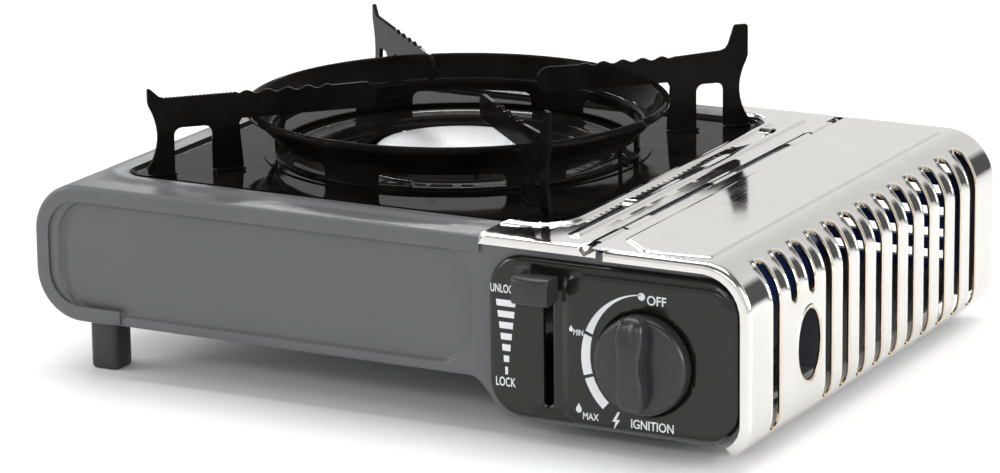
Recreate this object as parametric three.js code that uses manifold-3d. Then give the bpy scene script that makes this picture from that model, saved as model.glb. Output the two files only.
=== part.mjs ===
// Portable single-burner gas stove with a side compartment for a gas cartridge.
// Millimetres, +Z up, +X along the front to the right, +Y to the back, origin on the floor
// under the middle of the stove's outline. The stove rests on four feet at z = 0.

import * as THREE from 'three';
import { mergeVertices } from 'three/addons/utils/BufferGeometryUtils.js';
import Module from 'manifold-3d';

const wasm = await Module();
wasm.setup();

// ---- driving dimensions ----
const stoveWidth = 343;
const bodyDepth = 254;
const deckHeight = 84.9;
const burnerFloorHeight = 24;
const cartridgeFloorHeight = 9.5;
const sheet = 0.9;
const steelSheet = 0.8;
const gap = 0.3;
const runningGap = 0.6;

// casing
const casingRadius = 22;
const casingFlange = 7;
const casingHemLength = 42.5;
const fieldMargin = 11;

// cartridge lid on the right
const lidWidth = 73.2;
const lidCornerRadius = 22;
const lidHemRadius = 16;
const lidHemAngle = 62;
const lidHemTop = 20;
const lidFlange = 4;
const lidOverhang = 2.4;
const lidSlotCount = 13;
const lidSlotWidth = 5.4;
const lidSlotFrontMargin = 22.4;
const lidSlotBackMargin = 24;
const lidSlotTopDrop = 4.9;
const lidSlotBottom = 12;
const shortSlotBottom = 62;
const fingerHoleInset = 55;
const fingerHoleZ = 40;
const fingerHoleWidth = 21.6;
const fingerHoleHeight = 30.5;
const hingePinRadius = 0.9;
const hingeGap = 0.35;
const knuckleWall = 0.75;
const knuckleLength = 22;

// steel deck plate between the tray and the lid
const plateWidth = 50.3;
const plateSkirt = 4;
const ridgeRise = 0.9;

// drip tray opening, a rounded rectangle in the deck
const trayLeftMargin = 27.5;
const trayRightMargin = 27.3;
const trayFrontMargin = 26;
const trayBackMargin = 19;
const trayCorner = 13;
const trayLedge = 5;
const trayRecess = 2.4;
const trayRimHeight = 1.6;
const trayRimWidth = 1.6;
const trayWellMargin = 17;
const trayWellDepth = 3.5;

// burner, a little behind the middle of the tray
const burnerOffsetX = 1;
const burnerOffsetY = 4.5;
const burnerRadius = 36;
const burnerRise = 2.6;
const burnerCapThickness = 3.2;
const burnerHeadHeight = 35;
const burnerNeckRadius = 13;
const burnerClearance = 8;

// wind ring
const ringRadius = 92.6;
const ringFlare = 11.6;
const ringRise = 20.7;
const ringWindowCount = 6;
const ringWindowAngle = 41;
const ringWindowStart = 93;
const ringWindowHeight = 9;

// pan supports
const supportThickness = 1.8;
const supportOverhang = 44;
const supportTipInset = 55.6;
const supportTabWidth = 6;
const panRestRise = 33.1;
const spikeRise = 45.1;
const hornRise = 37.3;

// control panel
const bezelWidth = 113.8;
const bezelRightMargin = 5.2;
const bezelBottom = 10.2;
const bezelTopDrop = 5.9;
const bezelCorner = 15;
const bezelThickness = 3;
const bezelStep = 1.3;
const bezelStepInset = 35.5;
const knobInset = 41.3;
const knobZ = 41;
const knobRadius = 20.8;
const knobThickness = 6;
const knobGripDepth = 9;
const knobGripWidth = 12;
const spindleRadius = 4;
const spindleReach = 16;

// cartridge lock
const leverInset = 27.3;
const leverPivotInset = 60;
const leverPivotZ = 43;
const leverArmThickness = 2;
const leverRise = 18.3;
const leverSlotWidth = 4.6;
const leverSlotBottom = 16.5;
const leverSlotTop = 70;
const leverStemHeight = 7;
const leverCrankHeight = 15;
const tabStandOff = 3.2;
const tabDepth = 11.5;
const tabLeft = 8.5;
const tabRight = 8;
const carriageInset = 75;
const carriageThickness = 2;
const carriageTravel = 9;

// inside
const shieldInset = 10;
const cartridgeInset = 41.5;
const cartridgeZ = 45;
const ventRows = 5;
const ventHeight = 4.4;
const ventPitch = 10;
const ventRise = 16.3;
const ventStart = 2.6;
const ventInset = 17;
const liningMargin = 5;
const valveDepth = 35;
const valveHalfWidth = 19;
const valveTop = 15;
const pipeRadius = 2;
const leadRadius = 1.5;
const footSize = 14;
const footInset = 12;
const shortFootInset = 40;
const footLeftMargin = 18.5;
const footRightMargin = 51.5;

// ---- derived places ----
const left = -stoveWidth / 2;
const lidRight = stoveWidth / 2;
const front = -bodyDepth / 2;
const back = bodyDepth / 2;
const wallFront = front + sheet + gap;
const wallBack = back - sheet - gap;
const plateBottom = deckHeight + gap;
const plateTop = plateBottom + steelSheet;
const panFloor = burnerFloorHeight + sheet + gap;
const panTop = deckHeight - sheet - gap;
const lidFront = front - lidOverhang;
const lidBack = back + lidOverhang;
const lidCornerZ = plateTop - lidCornerRadius;
const hingeX = lidRight - lidWidth;
const hingeZ = plateTop - steelSheet / 2 - hingePinRadius - hingeGap / 2;
const knuckleRadius = hingePinRadius + hingeGap + knuckleWall;
const plateLeft = hingeX - plateWidth;
const trayLeft = left + trayLeftMargin;
const trayRight = hingeX - trayRightMargin;
const trayFront = front + trayFrontMargin;
const trayBack = back - trayBackMargin;
const burnerX = (trayLeft + trayRight) / 2 + burnerOffsetX;
const burnerY = (trayFront + trayBack) / 2 + burnerOffsetY;
const burnerTop = deckHeight + burnerRise;
const ringFootRadius = ringRadius - ringFlare;
const ringRimHeight = deckHeight + ringRise;
const trayWellRadius = ringFootRadius - trayWellMargin;
const supportTip = ringRadius - supportTipInset;
const trayReach = (trayRight - burnerX - trayRimWidth - gap - runningGap) * Math.SQRT2 - supportTabWidth;
const supportReach = Math.min(ringRadius + supportOverhang, trayReach);
const panRestHeight = deckHeight + panRestRise;
const spikeHeight = deckHeight + spikeRise;
const hornHeight = deckHeight + hornRise;
const bezelRight = lidRight - bezelRightMargin;
const bezelLeft = bezelRight - bezelWidth;
const bezelTop = deckHeight - bezelTopDrop;
const bezelBack = wallFront - gap;
const bezelFront = bezelBack - bezelThickness;
const bezelFace = bezelFront - bezelStep;
const bezelStepX = bezelLeft + bezelStepInset;
const knobX = bezelRight - knobInset;
const knobBack = bezelFace - runningGap;
const knobFace = knobBack - knobThickness;
const knobFront = knobFace - knobGripDepth;
const leverX = bezelLeft + leverInset;
const leverPivotY = front + leverPivotInset;
const carriageY = front + carriageInset;
const shieldX = hingeX - shieldInset;
const cartridgeX = lidRight - cartridgeInset;
const ventLeft = shieldX + ventStart;
const ventRight = lidRight - ventInset;
const fingerHoleY = front + fingerHoleInset;
const lidSlotFirst = front + lidSlotFrontMargin;
const lidSlotPitch = (bodyDepth - lidSlotFrontMargin - lidSlotBackMargin) / (lidSlotCount - 1);
const lidSlotTop = deckHeight - lidSlotTopDrop;
const trayRest = deckHeight - trayRecess;
const traySheetBottom = trayRest + gap;
const traySheetTop = traySheetBottom + sheet;
const trayHoleRadius = burnerRadius + burnerClearance;
const ringFoot = traySheetTop + gap;
const supportFoot = traySheetTop + gap;
const fingerUnderside = ringRimHeight + gap;
const tongueFront = leverPivotY - 4;
const shiftY = (-knobFront - lidBack) / 2;

// ---- solids ----
const solid = (geometry) => {
  geometry.deleteAttribute('normal');
  geometry.deleteAttribute('uv');
  const merged = mergeVertices(geometry, 1e-4);
  const mesh = new wasm.Mesh({
    numProp: 3,
    vertProperties: new Float32Array(merged.attributes.position.array),
    triVerts: new Uint32Array(merged.index.array),
  });
  mesh.merge();
  return new wasm.Manifold(mesh);
};

const geometryOf = (manifold) => {
  const mesh = manifold.getMesh();
  const geometry = new THREE.BufferGeometry();
  geometry.setAttribute('position', new THREE.BufferAttribute(mesh.vertProperties, 3));
  geometry.setIndex(new THREE.BufferAttribute(mesh.triVerts, 1));
  geometry.computeVertexNormals();
  return geometry;
};

const union = (...parts) => parts.reduce((sum, part) => sum.add(part));
const cut = (body, ...tools) => tools.reduce((rest, tool) => rest.subtract(tool), body);

const box = (x0, x1, y0, y1, z0, z1) => {
  const geometry = new THREE.BoxGeometry(x1 - x0, y1 - y0, z1 - z0);
  return solid(geometry.translate((x0 + x1) / 2, (y0 + y1) / 2, (z0 + z1) / 2));
};

// An outline in x, y raised from z0 to z1.
const alongZ = (shape, z0, z1, curveSegments = 8) => {
  const geometry = new THREE.ExtrudeGeometry(shape, { depth: z1 - z0, bevelEnabled: false, curveSegments });
  return solid(geometry.translate(0, 0, z0));
};

// An outline in x, z carried from y0 to y1.
const alongY = (shape, y0, y1, curveSegments = 8) => {
  const geometry = new THREE.ExtrudeGeometry(shape, { depth: y1 - y0, bevelEnabled: false, curveSegments });
  return solid(geometry.rotateX(Math.PI / 2).translate(0, y1, 0));
};

// An outline in y, z carried from x0 to x1.
const alongX = (shape, x0, x1, curveSegments = 8) => {
  const geometry = new THREE.ExtrudeGeometry(shape, { depth: x1 - x0, bevelEnabled: false, curveSegments });
  const turn = new THREE.Matrix4().makeBasis(
    new THREE.Vector3(0, 1, 0), new THREE.Vector3(0, 0, 1), new THREE.Vector3(1, 0, 0));
  return solid(geometry.applyMatrix4(turn).translate(x0, 0, 0));
};

// A profile of [radius, height] turned about a vertical axis through x, y.
const turned = (profile, x, y, segments = 48) => {
  const points = profile.map(([r, z]) => new THREE.Vector2(r, z));
  return solid(new THREE.LatheGeometry(points, segments).rotateX(Math.PI / 2).translate(x, y, 0));
};

// A profile of [radius, y] turned about an axis along Y through x, z.
const turnedY = (profile, x, z, segments = 32) => {
  const points = profile.map(([r, y]) => new THREE.Vector2(r, y));
  return solid(new THREE.LatheGeometry(points, segments).translate(x, 0, z));
};

const rodY = (x, z, radius, y0, y1, segments = 24) => turnedY(
  [[0, y0], [radius, y0], [radius, y1], [0, y1]], x, z, segments);

const rodZ = (x, y, radius, z0, z1, segments = 32) => turned(
  [[0, z0], [radius, z0], [radius, z1], [0, z1]], x, y, segments);

const rodX = (y, z, radius, x0, x1, segments = 24) => {
  const geometry = new THREE.CylinderGeometry(radius, radius, x1 - x0, segments);
  return solid(geometry.rotateZ(Math.PI / 2).translate((x0 + x1) / 2, y, z));
};

const outline = (points) => new THREE.Shape(points.map(([x, y]) => new THREE.Vector2(x, y)));

const arc = (cx, cy, radius, fromAngle, toAngle, steps = 8) => Array.from({ length: steps + 1 }, (_, i) => {
  const angle = THREE.MathUtils.degToRad(fromAngle + (toAngle - fromAngle) * i / steps);
  return [cx + radius * Math.cos(angle), cy + radius * Math.sin(angle)];
});

const roundRect = (x0, x1, y0, y1, r, steps = 6) => outline([
  ...arc(x0 + r, y0 + r, r, 180, 270, steps), ...arc(x1 - r, y0 + r, r, 270, 360, steps),
  ...arc(x1 - r, y1 - r, r, 0, 90, steps), ...arc(x0 + r, y1 - r, r, 90, 180, steps)]);

// A strip of even thickness on the left-hand side of a path.
const strip = (path, thickness) => {
  const inner = path.map((point, i) => {
    const before = path[Math.max(i - 1, 0)];
    const after = path[Math.min(i + 1, path.length - 1)];
    const unit = (a, b) => new THREE.Vector2(b[0] - a[0], b[1] - a[1]).normalize();
    const first = i === 0 ? unit(point, after) : unit(before, point);
    const second = i === path.length - 1 ? first : unit(point, after);
    const middle = first.clone().add(second).normalize();
    const reach = thickness / middle.dot(second);
    return [point[0] - middle.y * reach, point[1] + middle.x * reach];
  });
  return outline([...path, ...inner.reverse()]);
};

const tube = (points, radius, steps, sides = 10) => {
  const section = new THREE.Shape().absarc(0, 0, radius, 0, Math.PI * 2);
  const path = new THREE.CatmullRomCurve3(points.map(([x, y, z]) => new THREE.Vector3(x, y, z)));
  return solid(new THREE.ExtrudeGeometry(section, {
    extrudePath: path, steps, bevelEnabled: false, curveSegments: sides / 2 }));
};

// ---- materials ----
const finish = (color, roughness, metalness) => new THREE.MeshStandardMaterial({ color, roughness, metalness });
const greyPaint = finish(0x6b6c6f, 0.45, 0.1);
const blackEnamel = finish(0x0b0a0a, 0.12, 0);
const mirrorSteel = finish(0xd9d9d6, 0.12, 1);
const bluedSteel = finish(0x1a2440, 0.35, 0.8);
const blackPlastic = finish(0x262526, 0.25, 0);
const greyPlastic = finish(0x37373a, 0.35, 0);
const castAluminium = finish(0xb9bcbe, 0.5, 0.9);
const zincPlate = finish(0x8d9195, 0.4, 1);
const brass = finish(0xb08d3c, 0.35, 1);
const ceramicWhite = finish(0xe8e4da, 0.4, 0);
const leadRubber = finish(0x1b1b1d, 0.6, 0);

const stove = new THREE.Group();
stove.position.set(0, shiftY, 0);

const add = (name, manifold, material) => {
  const mesh = new THREE.Mesh(geometryOf(manifold), material);
  mesh.name = name;
  stove.add(mesh);
  return mesh;
};

// ---- body pan: walls, stepped floor and low lip at the cartridge side ----
const wallRadius = lidCornerRadius - steelSheet - 1.5;
const wallRight = lidRight - lidCornerRadius + wallRadius;
const panRadius = casingRadius - sheet - gap;
const panLeft = left + sheet + gap;
const ogeeStart = hingeX - 56.3;
const ogeeEnd = ogeeStart + 20;
const lipX = lidRight - 18.5;

const ogee = Array.from({ length: 9 }, (_, i) => {
  const t = i / 8;
  const drop = (panFloor - cartridgeFloorHeight) * (1 - Math.cos(Math.PI * t)) / 2;
  return [ogeeStart + (ogeeEnd - ogeeStart) * t, panFloor - drop];
});

const ventsThrough = (y0, y1) => Array.from({ length: ventRows }, (_, row) => {
  const z = cartridgeFloorHeight + ventRise + row * ventPitch;
  return box(ventLeft, ventRight, y0, y1, z, z + ventHeight);
});

const makeBodyPan = () => {
  const floorPath = [
    ...arc(left + casingRadius, deckHeight - casingRadius, panRadius, 90, 180),
    ...arc(panLeft + panRadius, panFloor + panRadius, panRadius, 180, 270), ...ogee,
    [lipX, cartridgeFloorHeight]];
  const floor = alongY(strip([...floorPath, [lipX, cartridgeFloorHeight + 7]], sheet), wallFront, wallBack);
  const cornerZ = Math.min(panTop, lidCornerZ + wallRadius) - wallRadius;
  const wallOutline = outline([
    ...floorPath.slice(0, -1), ...arc(wallRight - lidHemRadius, cartridgeFloorHeight + lidHemRadius,
      lidHemRadius, 270, 360),
    ...arc(wallRight - wallRadius, cornerZ, wallRadius, 0, 90)]);
  const frontWall = alongY(wallOutline, wallFront, wallFront + sheet);
  const backWall = alongY(wallOutline, wallBack - sheet, wallBack);
  const fieldLeft = left + fieldMargin;
  const fieldRight = bezelLeft - 8.5;
  const fieldBottom = burnerFloorHeight + 4;
  const fieldTop = deckHeight - 5.5;
  const fieldDepth = 1.4;
  const field = (inset) => roundRect(fieldLeft + inset, fieldRight - inset, fieldBottom + inset,
    fieldTop - inset, 18 - inset);
  const pressedField = (face, inward) => {
    const outside = alongY(field(1.5), Math.min(face, face + inward * fieldDepth),
      Math.max(face, face + inward * fieldDepth));
    const deep = face + inward * (fieldDepth + sheet);
    const backing = alongY(field(0), Math.min(face, deep), Math.max(face, deep));
    return { outside, backing };
  };
  const frontField = pressedField(wallFront, 1);
  const backField = pressedField(wallBack, -1);
  const walls = union(floor, frontWall, backWall, frontField.backing, backField.backing);
  const leverSlot = box(leverX - leverSlotWidth / 2 - 1, leverX + leverSlotWidth / 2 + 1,
    wallFront - 1, wallFront + sheet + 1, leverSlotBottom - 1, leverSlotTop + 1);
  const spindleHole = rodY(knobX, knobZ, spindleRadius + 1.5, wallFront - 1, wallFront + sheet + 1);
  const vents = ventsThrough(wallBack - sheet - 1, wallBack + 1);
  return cut(walls, frontField.outside, backField.outside, leverSlot, spindleHole, ...vents);
};
add('body_pan', makeBodyPan(), greyPaint);

// ---- top casing: deck, rounded left side, flanges, ledge for the tray ----
const wrapPath = (offset, topEnd) => [
  [topEnd, deckHeight - offset],
  ...arc(left + casingRadius, deckHeight - casingRadius, casingRadius - offset, 90, 180),
  ...arc(left + casingRadius, burnerFloorHeight + casingRadius, casingRadius - offset, 180, 270),
  [left + casingHemLength, burnerFloorHeight + offset]];

const wrapShape = (offset, topEnd) => outline([...wrapPath(0, topEnd), ...wrapPath(offset, topEnd).reverse()]);
const trayOutline = (grow) => roundRect(trayLeft - grow, trayRight + grow, trayFront - grow,
  trayBack + grow, trayCorner + grow);
const deckRight = hingeX - knuckleRadius - runningGap;

const makeCasing = () => {
  const wrap = alongY(wrapShape(sheet, deckRight), front, back);
  const flange = wrapShape(casingFlange, bezelLeft - 5);
  const flanges = union(alongY(flange, front, front + sheet), alongY(flange, back - sheet, back));
  const slab = alongZ(trayOutline(sheet), trayRest - sheet, deckHeight);
  const opening = union(alongZ(trayOutline(0), trayRest, deckHeight + 1),
    alongZ(trayOutline(-trayLedge), trayRest - 2 * sheet, deckHeight + 1));
  return cut(union(wrap, flanges, slab), opening);
};
add('top_casing', makeCasing(), greyPaint);

// ---- steel deck plate beside the tray, with its front and back skirts and hinge knuckles ----
const knuckleAt = (start) => [start, start + knuckleLength];
const knuckleSpans = [knuckleAt(front + 9), knuckleAt(-knuckleLength / 2), knuckleAt(back - 14 - knuckleLength)];
const lidKnuckleSpans = [knuckleAt(front + 33), knuckleAt(back - 38 - knuckleLength)];
const knuckle = (y0, y1) => turnedY([
  [hingePinRadius + hingeGap, y0], [knuckleRadius, y0], [knuckleRadius, y1],
  [hingePinRadius + hingeGap, y1], [hingePinRadius + hingeGap, y0]], hingeX, hingeZ, 20);
const pinBore = rodY(hingeX, hingeZ, hingePinRadius + hingeGap, front, back, 20);

const makeDeckPlate = () => {
  const sheetArea = alongZ(outline([[plateLeft, front - gap - steelSheet], [deckRight, front - gap - steelSheet],
    [deckRight, back + gap + steelSheet], [plateLeft, back + gap + steelSheet]]), plateBottom, plateTop);
  const ridges = [3.5, 11.5].map((inset) => alongZ(roundRect(trayRight + inset, trayRight + inset + 5,
    trayFront + 6, trayBack - 6, 2.4), plateBottom, plateTop + ridgeRise));
  const skirtEnd = hingeX + 3.7;
  const frontSkirt = box(plateLeft, skirtEnd, front - gap - steelSheet, front - gap, plateTop - plateSkirt, plateTop);
  const backSkirt = box(plateLeft, skirtEnd, back + gap, back + gap + steelSheet, plateTop - plateSkirt, plateTop);
  const arms = knuckleSpans.map(([y0, y1]) => union(knuckle(y0, y1),
    box(deckRight - 1, hingeX, y0, y1, plateTop - steelSheet, plateTop)));
  const plate = union(sheetArea, ...ridges, frontSkirt, backSkirt, ...arms);
  return cut(plate, alongZ(trayOutline(1.5), plateBottom - 1, plateTop + 4), pinBore);
};
add('deck_plate', makeDeckPlate(), mirrorSteel);
add('hinge_pin', rodY(hingeX, hingeZ, hingePinRadius, front + 8, back - 12.5, 16), zincPlate);

// ---- heat shield between the burner and the cartridge, with a lining on the bay's vented back ----
const leadHole = { y: front + 43, z: deckHeight - 12.9 };
const pipeHole = { y: front + 89, z: deckHeight - 18.9 };
const makeHeatShield = () => {
  const foot = cartridgeFloorHeight + sheet + gap;
  const wallEnd = wallBack - sheet - gap - 1;
  const wall = box(shieldX, shieldX + sheet, wallFront + sheet + gap + 1, wallEnd, foot, panTop);
  const lining = box(shieldX, ventRight + liningMargin, wallEnd - sheet, wallEnd,
    cartridgeFloorHeight + ventRise - liningMargin, panTop - liningMargin);
  const footFlange = box(shieldX - 9, shieldX + sheet, wallFront + 6, wallBack - 6, foot, foot + sheet);
  const topFlange = box(shieldX - 7, shieldX + sheet, wallFront + 40, wallBack - 6, panTop - sheet, panTop);
  const leadBore = rodX(leadHole.y, leadHole.z, 2 * leadRadius, shieldX - 1, shieldX + sheet + 1, 16);
  const pipeBore = rodX(pipeHole.y, pipeHole.z, pipeRadius + 4, shieldX - 1, shieldX + sheet + 1, 16);
  const tongueWindow = box(shieldX - 1, shieldX + sheet + 1, tongueFront - carriageTravel - 2,
    carriageY + carriageThickness + 1, leverPivotZ + 8, leverPivotZ + 15);
  return cut(union(wall, lining, footFlange, topFlange), leadBore, pipeBore, tongueWindow,
    ...ventsThrough(wallEnd - sheet - 1, wallEnd + 1));
};
add('heat_shield', makeHeatShield(), bluedSteel);

// ---- control panel ----
const makeBezel = () => {
  const base = alongY(roundRect(bezelLeft, bezelRight, bezelBottom, bezelTop, bezelCorner), bezelFront, bezelBack);
  const inset = 3.5;
  const raised = alongY(roundRect(bezelStepX, bezelRight - inset, bezelBottom + 0.8, bezelTop - inset, 9),
    bezelFace, bezelFront + 1);
  const slot = box(leverX - leverSlotWidth / 2, leverX + leverSlotWidth / 2, bezelFace - 1, bezelBack + 1,
    leverSlotBottom, leverSlotTop);
  const spindleHole = rodY(knobX, knobZ, spindleRadius + runningGap, bezelFace - 1, bezelBack + 1);
  return cut(union(base, raised), slot, spindleHole);
};
add('control_panel', makeBezel(), blackPlastic);

// ---- control knob and its spindle ----
const spindleTip = wallFront + spindleReach;
const makeKnob = () => {
  const disc = turnedY([[0, knobFace], [knobRadius - 1.6, knobFace], [knobRadius, knobFace + 1.6],
    [knobRadius, knobBack], [0, knobBack]], knobX, knobZ, 48);
  const half = knobRadius - 0.6;
  const crown = [[knobFace + 1, -half], ...arc(knobFace + 45 - knobGripDepth, 0, 45, 205, 155, 10)
    .map(([y, z]) => [y, z]).filter(([y, z]) => Math.abs(z) < half && y < knobFace), [knobFace + 1, half]];
  const grip = alongX(outline(crown), knobX - knobGripWidth / 2, knobX + knobGripWidth / 2)
    .translate([0, 0, knobZ]);
  const bore = rodY(knobX, knobZ, spindleRadius + gap, knobFace + 1, knobBack + 1);
  return cut(union(disc, grip), bore);
};
add('control_knob', makeKnob(), greyPlastic);
add('knob_spindle', rodY(knobX, knobZ, spindleRadius, knobFace + 1 + gap, spindleTip), zincPlate);

// ---- gas valve, collar for the cartridge, pipe, igniter ----
const valveBack = front + valveDepth;
const valveFront = wallFront + sheet + gap;
const outlet = { y: front + 27, z: 50 };
const makeValve = () => {
  const body = alongY(roundRect(knobX - valveHalfWidth, knobX + valveHalfWidth, knobZ - 14,
    knobZ + valveTop, 5), valveFront + 4, valveBack);
  const neck = rodY(knobX, knobZ, spindleRadius + 5, valveFront, valveFront + 5);
  const arm = box(shieldX + 8, knobX - 15, outlet.y - 5, outlet.y + 5, outlet.z - 5, outlet.z + 5);
  const spindleBore = rodY(knobX, knobZ, spindleRadius + runningGap, valveFront - 1, spindleTip + 1);
  const pipeSocket = rodX(outlet.y, outlet.z, pipeRadius + gap, shieldX + 7, shieldX + 12, 16);
  return cut(union(body, neck, arm), spindleBore, pipeSocket);
};
add('gas_valve', makeValve(), zincPlate);

const makeCollar = () => {
  const y0 = valveBack + gap;
  const ring = turnedY([[6, y0], [17, y0], [17, y0 + 3], [14, y0 + 3], [14, y0 + 9], [6, y0 + 9], [6, y0]],
    cartridgeX, cartridgeZ, 32);
  const key = box(cartridgeX - 2, cartridgeX + 2, y0, y0 + 8, cartridgeZ + 13, cartridgeZ + 20);
  return union(ring, key);
};
add('cartridge_collar', makeCollar(), brass);

const igniterX = knobX - 7;
const igniterZ = knobZ + valveTop + gap + 7;
const igniterBack = front + 27;
const plungerBack = igniterBack + 12;
const makeIgniter = () => union(
  box(igniterX - 7, igniterX + 9, valveFront + 4, igniterBack, igniterZ - 7, igniterZ + 8),
  rodY(igniterX, igniterZ, 4, igniterBack - 1, plungerBack, 16));
add('igniter', makeIgniter(), blackPlastic);

const jet = { x: burnerX + 79.5, y: burnerY - 40, z: deckHeight - 24.9 };
const flowAngle = Math.atan2(burnerY - jet.y, burnerX - jet.x);
const flow = [Math.cos(flowAngle), Math.sin(flowAngle)];
const alongFlow = (distance, dz = 0) => [jet.x + flow[0] * distance, jet.y + flow[1] * distance, jet.z + dz];
const flowLength = Math.hypot(burnerX - jet.x, burnerY - jet.y);
const headBottom = burnerTop - burnerCapThickness - gap - burnerHeadHeight;

const placedAlongFlow = (profile, distance, segments) => {
  const points = profile.map(([r, h]) => new THREE.Vector2(r, h));
  const [x, y, z] = alongFlow(distance);
  return solid(new THREE.LatheGeometry(points, segments).rotateZ(-Math.PI / 2).rotateZ(flowAngle)
    .translate(x, y, z));
};

const jetLength = 12;
const tubeStart = jetLength + 4;
const makeJet = () => {
  const body = placedAlongFlow([[0, 0], [5, 0], [5, 8], [2, jetLength], [0, jetLength]], 0, 20);
  const socket = tube([alongFlow(-2), alongFlow(4)], pipeRadius + gap, 1, 12);
  return cut(body, socket);
};
add('gas_jet', makeJet(), brass);

const pipeX = shieldX + 4.2;
const makePipe = () => tube([[shieldX + 11.5, outlet.y, outlet.z], [shieldX + 7, outlet.y, outlet.z],
  [pipeX, outlet.y + 3, outlet.z + 5], [pipeX, outlet.y + 12, pipeHole.z], [pipeX, outlet.y + 32, pipeHole.z + 5],
  [pipeX, pipeHole.y - 12, pipeHole.z + 4], [shieldX + 1, pipeHole.y - 1, pipeHole.z],
  [shieldX - 10, pipeHole.y + 3, jet.z + 3], alongFlow(-20), alongFlow(-8), alongFlow(3.5)], pipeRadius, 44, 10);
add('gas_pipe', makePipe(), brass);

const makeMixingTube = () => {
  const length = flowLength - tubeStart;
  const shell = placedAlongFlow([[8, 0], [9.5, 0], [7.5, length * 0.35], [8.5, length], [7.3, length],
    [6.3, length * 0.35], [8, 0]], tubeStart, 24);
  return cut(shell, rodZ(burnerX, burnerY, burnerNeckRadius + gap, headBottom - 1, headBottom + 30, 48));
};

const makeBurnerHead = () => {
  const z0 = headBottom;
  const top = z0 + burnerHeadHeight;
  return turned([[0, z0], [burnerNeckRadius, z0], [burnerNeckRadius, top - 14], [burnerNeckRadius + 4, top - 11],
    [burnerRadius - 4, top - 7], [burnerRadius, top - 3], [burnerRadius, top], [burnerRadius - 2.5, top],
    [burnerRadius - 2.5, top - 2.5], [burnerRadius - 6, top - 5], [burnerNeckRadius, top - 8],
    [burnerNeckRadius - 2, top - 14], [0, top - 16]], burnerX, burnerY, 40);
};
add('mixing_tube', makeMixingTube(), castAluminium);
add('burner_head', makeBurnerHead(), castAluminium);

const makeBurnerCap = () => {
  const bottom = burnerTop - burnerCapThickness;
  const domed = arc(0, burnerTop - 190, 190, 90, 90 - 9.2, 5);
  return turned([[0, bottom], [burnerRadius - 3.4, bottom - 1.6], [burnerRadius - 3, bottom],
    [burnerRadius, bottom], [burnerRadius, burnerTop - 2.2], ...domed.reverse()
      .filter(([r]) => r < burnerRadius - 1)], burnerX, burnerY, 48);
};
add('burner_cap', makeBurnerCap(), castAluminium);

const makeBurnerBracket = () => {
  const foot = panFloor + sheet + gap;
  const seat = headBottom - gap;
  const halfSpan = 30;
  const width = 9;
  const legPath = [[burnerX - halfSpan - 14, foot + sheet], [burnerX - halfSpan, foot + sheet],
    [burnerX - 13, seat], [burnerX + 13, seat], [burnerX + halfSpan, foot + sheet],
    [burnerX + halfSpan + 14, foot + sheet]];
  const bracket = alongY(strip(legPath.slice().reverse(), sheet), burnerY - width, burnerY + width);
  const acrossFlow = THREE.MathUtils.radToDeg(flowAngle) - 90;
  return bracket.translate([-burnerX, -burnerY, 0]).rotate([0, 0, acrossFlow]).translate([burnerX, burnerY, 0]);
};
add('burner_bracket', makeBurnerBracket(), zincPlate);

// ---- spark electrode and its lead ----
const electrodeAngle = 155;
const electrodeReach = burnerRadius + 4.2;
const electrodeTop = burnerTop - 3.5;
const [electrodeX, electrodeY] = arc(burnerX, burnerY, electrodeReach, electrodeAngle, electrodeAngle, 1)[0];
const insulatorRadius = 2.6;
const insulatorTop = electrodeTop - 6;
const insulatorBottom = insulatorTop - 16;
const electrodeBottom = insulatorBottom - 4;
add('spark_electrode', turned([[0, electrodeBottom], [1.6, electrodeBottom], [1.6, insulatorBottom],
  [insulatorRadius, insulatorBottom], [insulatorRadius, insulatorTop], [0.9, insulatorTop],
  [0.9, electrodeTop], [0, electrodeTop]], electrodeX, electrodeY, 16), ceramicWhite);

const makeElectrodeBracket = () => {
  const z = insulatorBottom + 3;
  const arm = box(0, electrodeReach + 5, -5, 5, z, z + 1).rotate([0, 0, electrodeAngle])
    .translate([burnerX, burnerY, 0]);
  return cut(arm, rodZ(burnerX, burnerY, burnerNeckRadius + gap, z - 1, z + 2, 48),
    rodZ(electrodeX, electrodeY, insulatorRadius + gap, z - 1, z + 2, 16));
};
add('electrode_bracket', makeElectrodeBracket(), zincPlate);

const leadFloor = panFloor + 17;
add('ignition_lead', tube([[igniterX, plungerBack + gap, igniterZ], [igniterX, plungerBack + 3.5, igniterZ + 0.5],
  [igniterX - 6, plungerBack + 7, igniterZ + 5], [shieldX + 14.7, leadHole.y + 1, leadHole.z],
  [shieldX, leadHole.y, leadHole.z], [leverX - 5.8, leadHole.y + 4, leadHole.z - 1],
  [burnerX + 75.5, burnerY - 78, jet.z], [burnerX + 25.5, burnerY - 58, leadFloor + 4],
  [burnerX - 24.5, burnerY - 42, leadFloor], [burnerX - 48.5, burnerY - 12, leadFloor],
  [electrodeX - 4, electrodeY - 6, electrodeBottom - 12], [electrodeX, electrodeY, electrodeBottom - 4],
  [electrodeX, electrodeY, electrodeBottom - gap]], leadRadius, 64, 8), leadRubber);

// ---- cartridge lock: pivoting lever with its thumb tab, bracket, pin and sliding carriage ----
const stemReach = leverPivotY - bezelFace + 2;
const leverAngle = THREE.MathUtils.degToRad(leverRise);
const stemZ = leverPivotZ + stemReach * Math.sin(leverAngle);
const leverPinRadius = 2;

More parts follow.
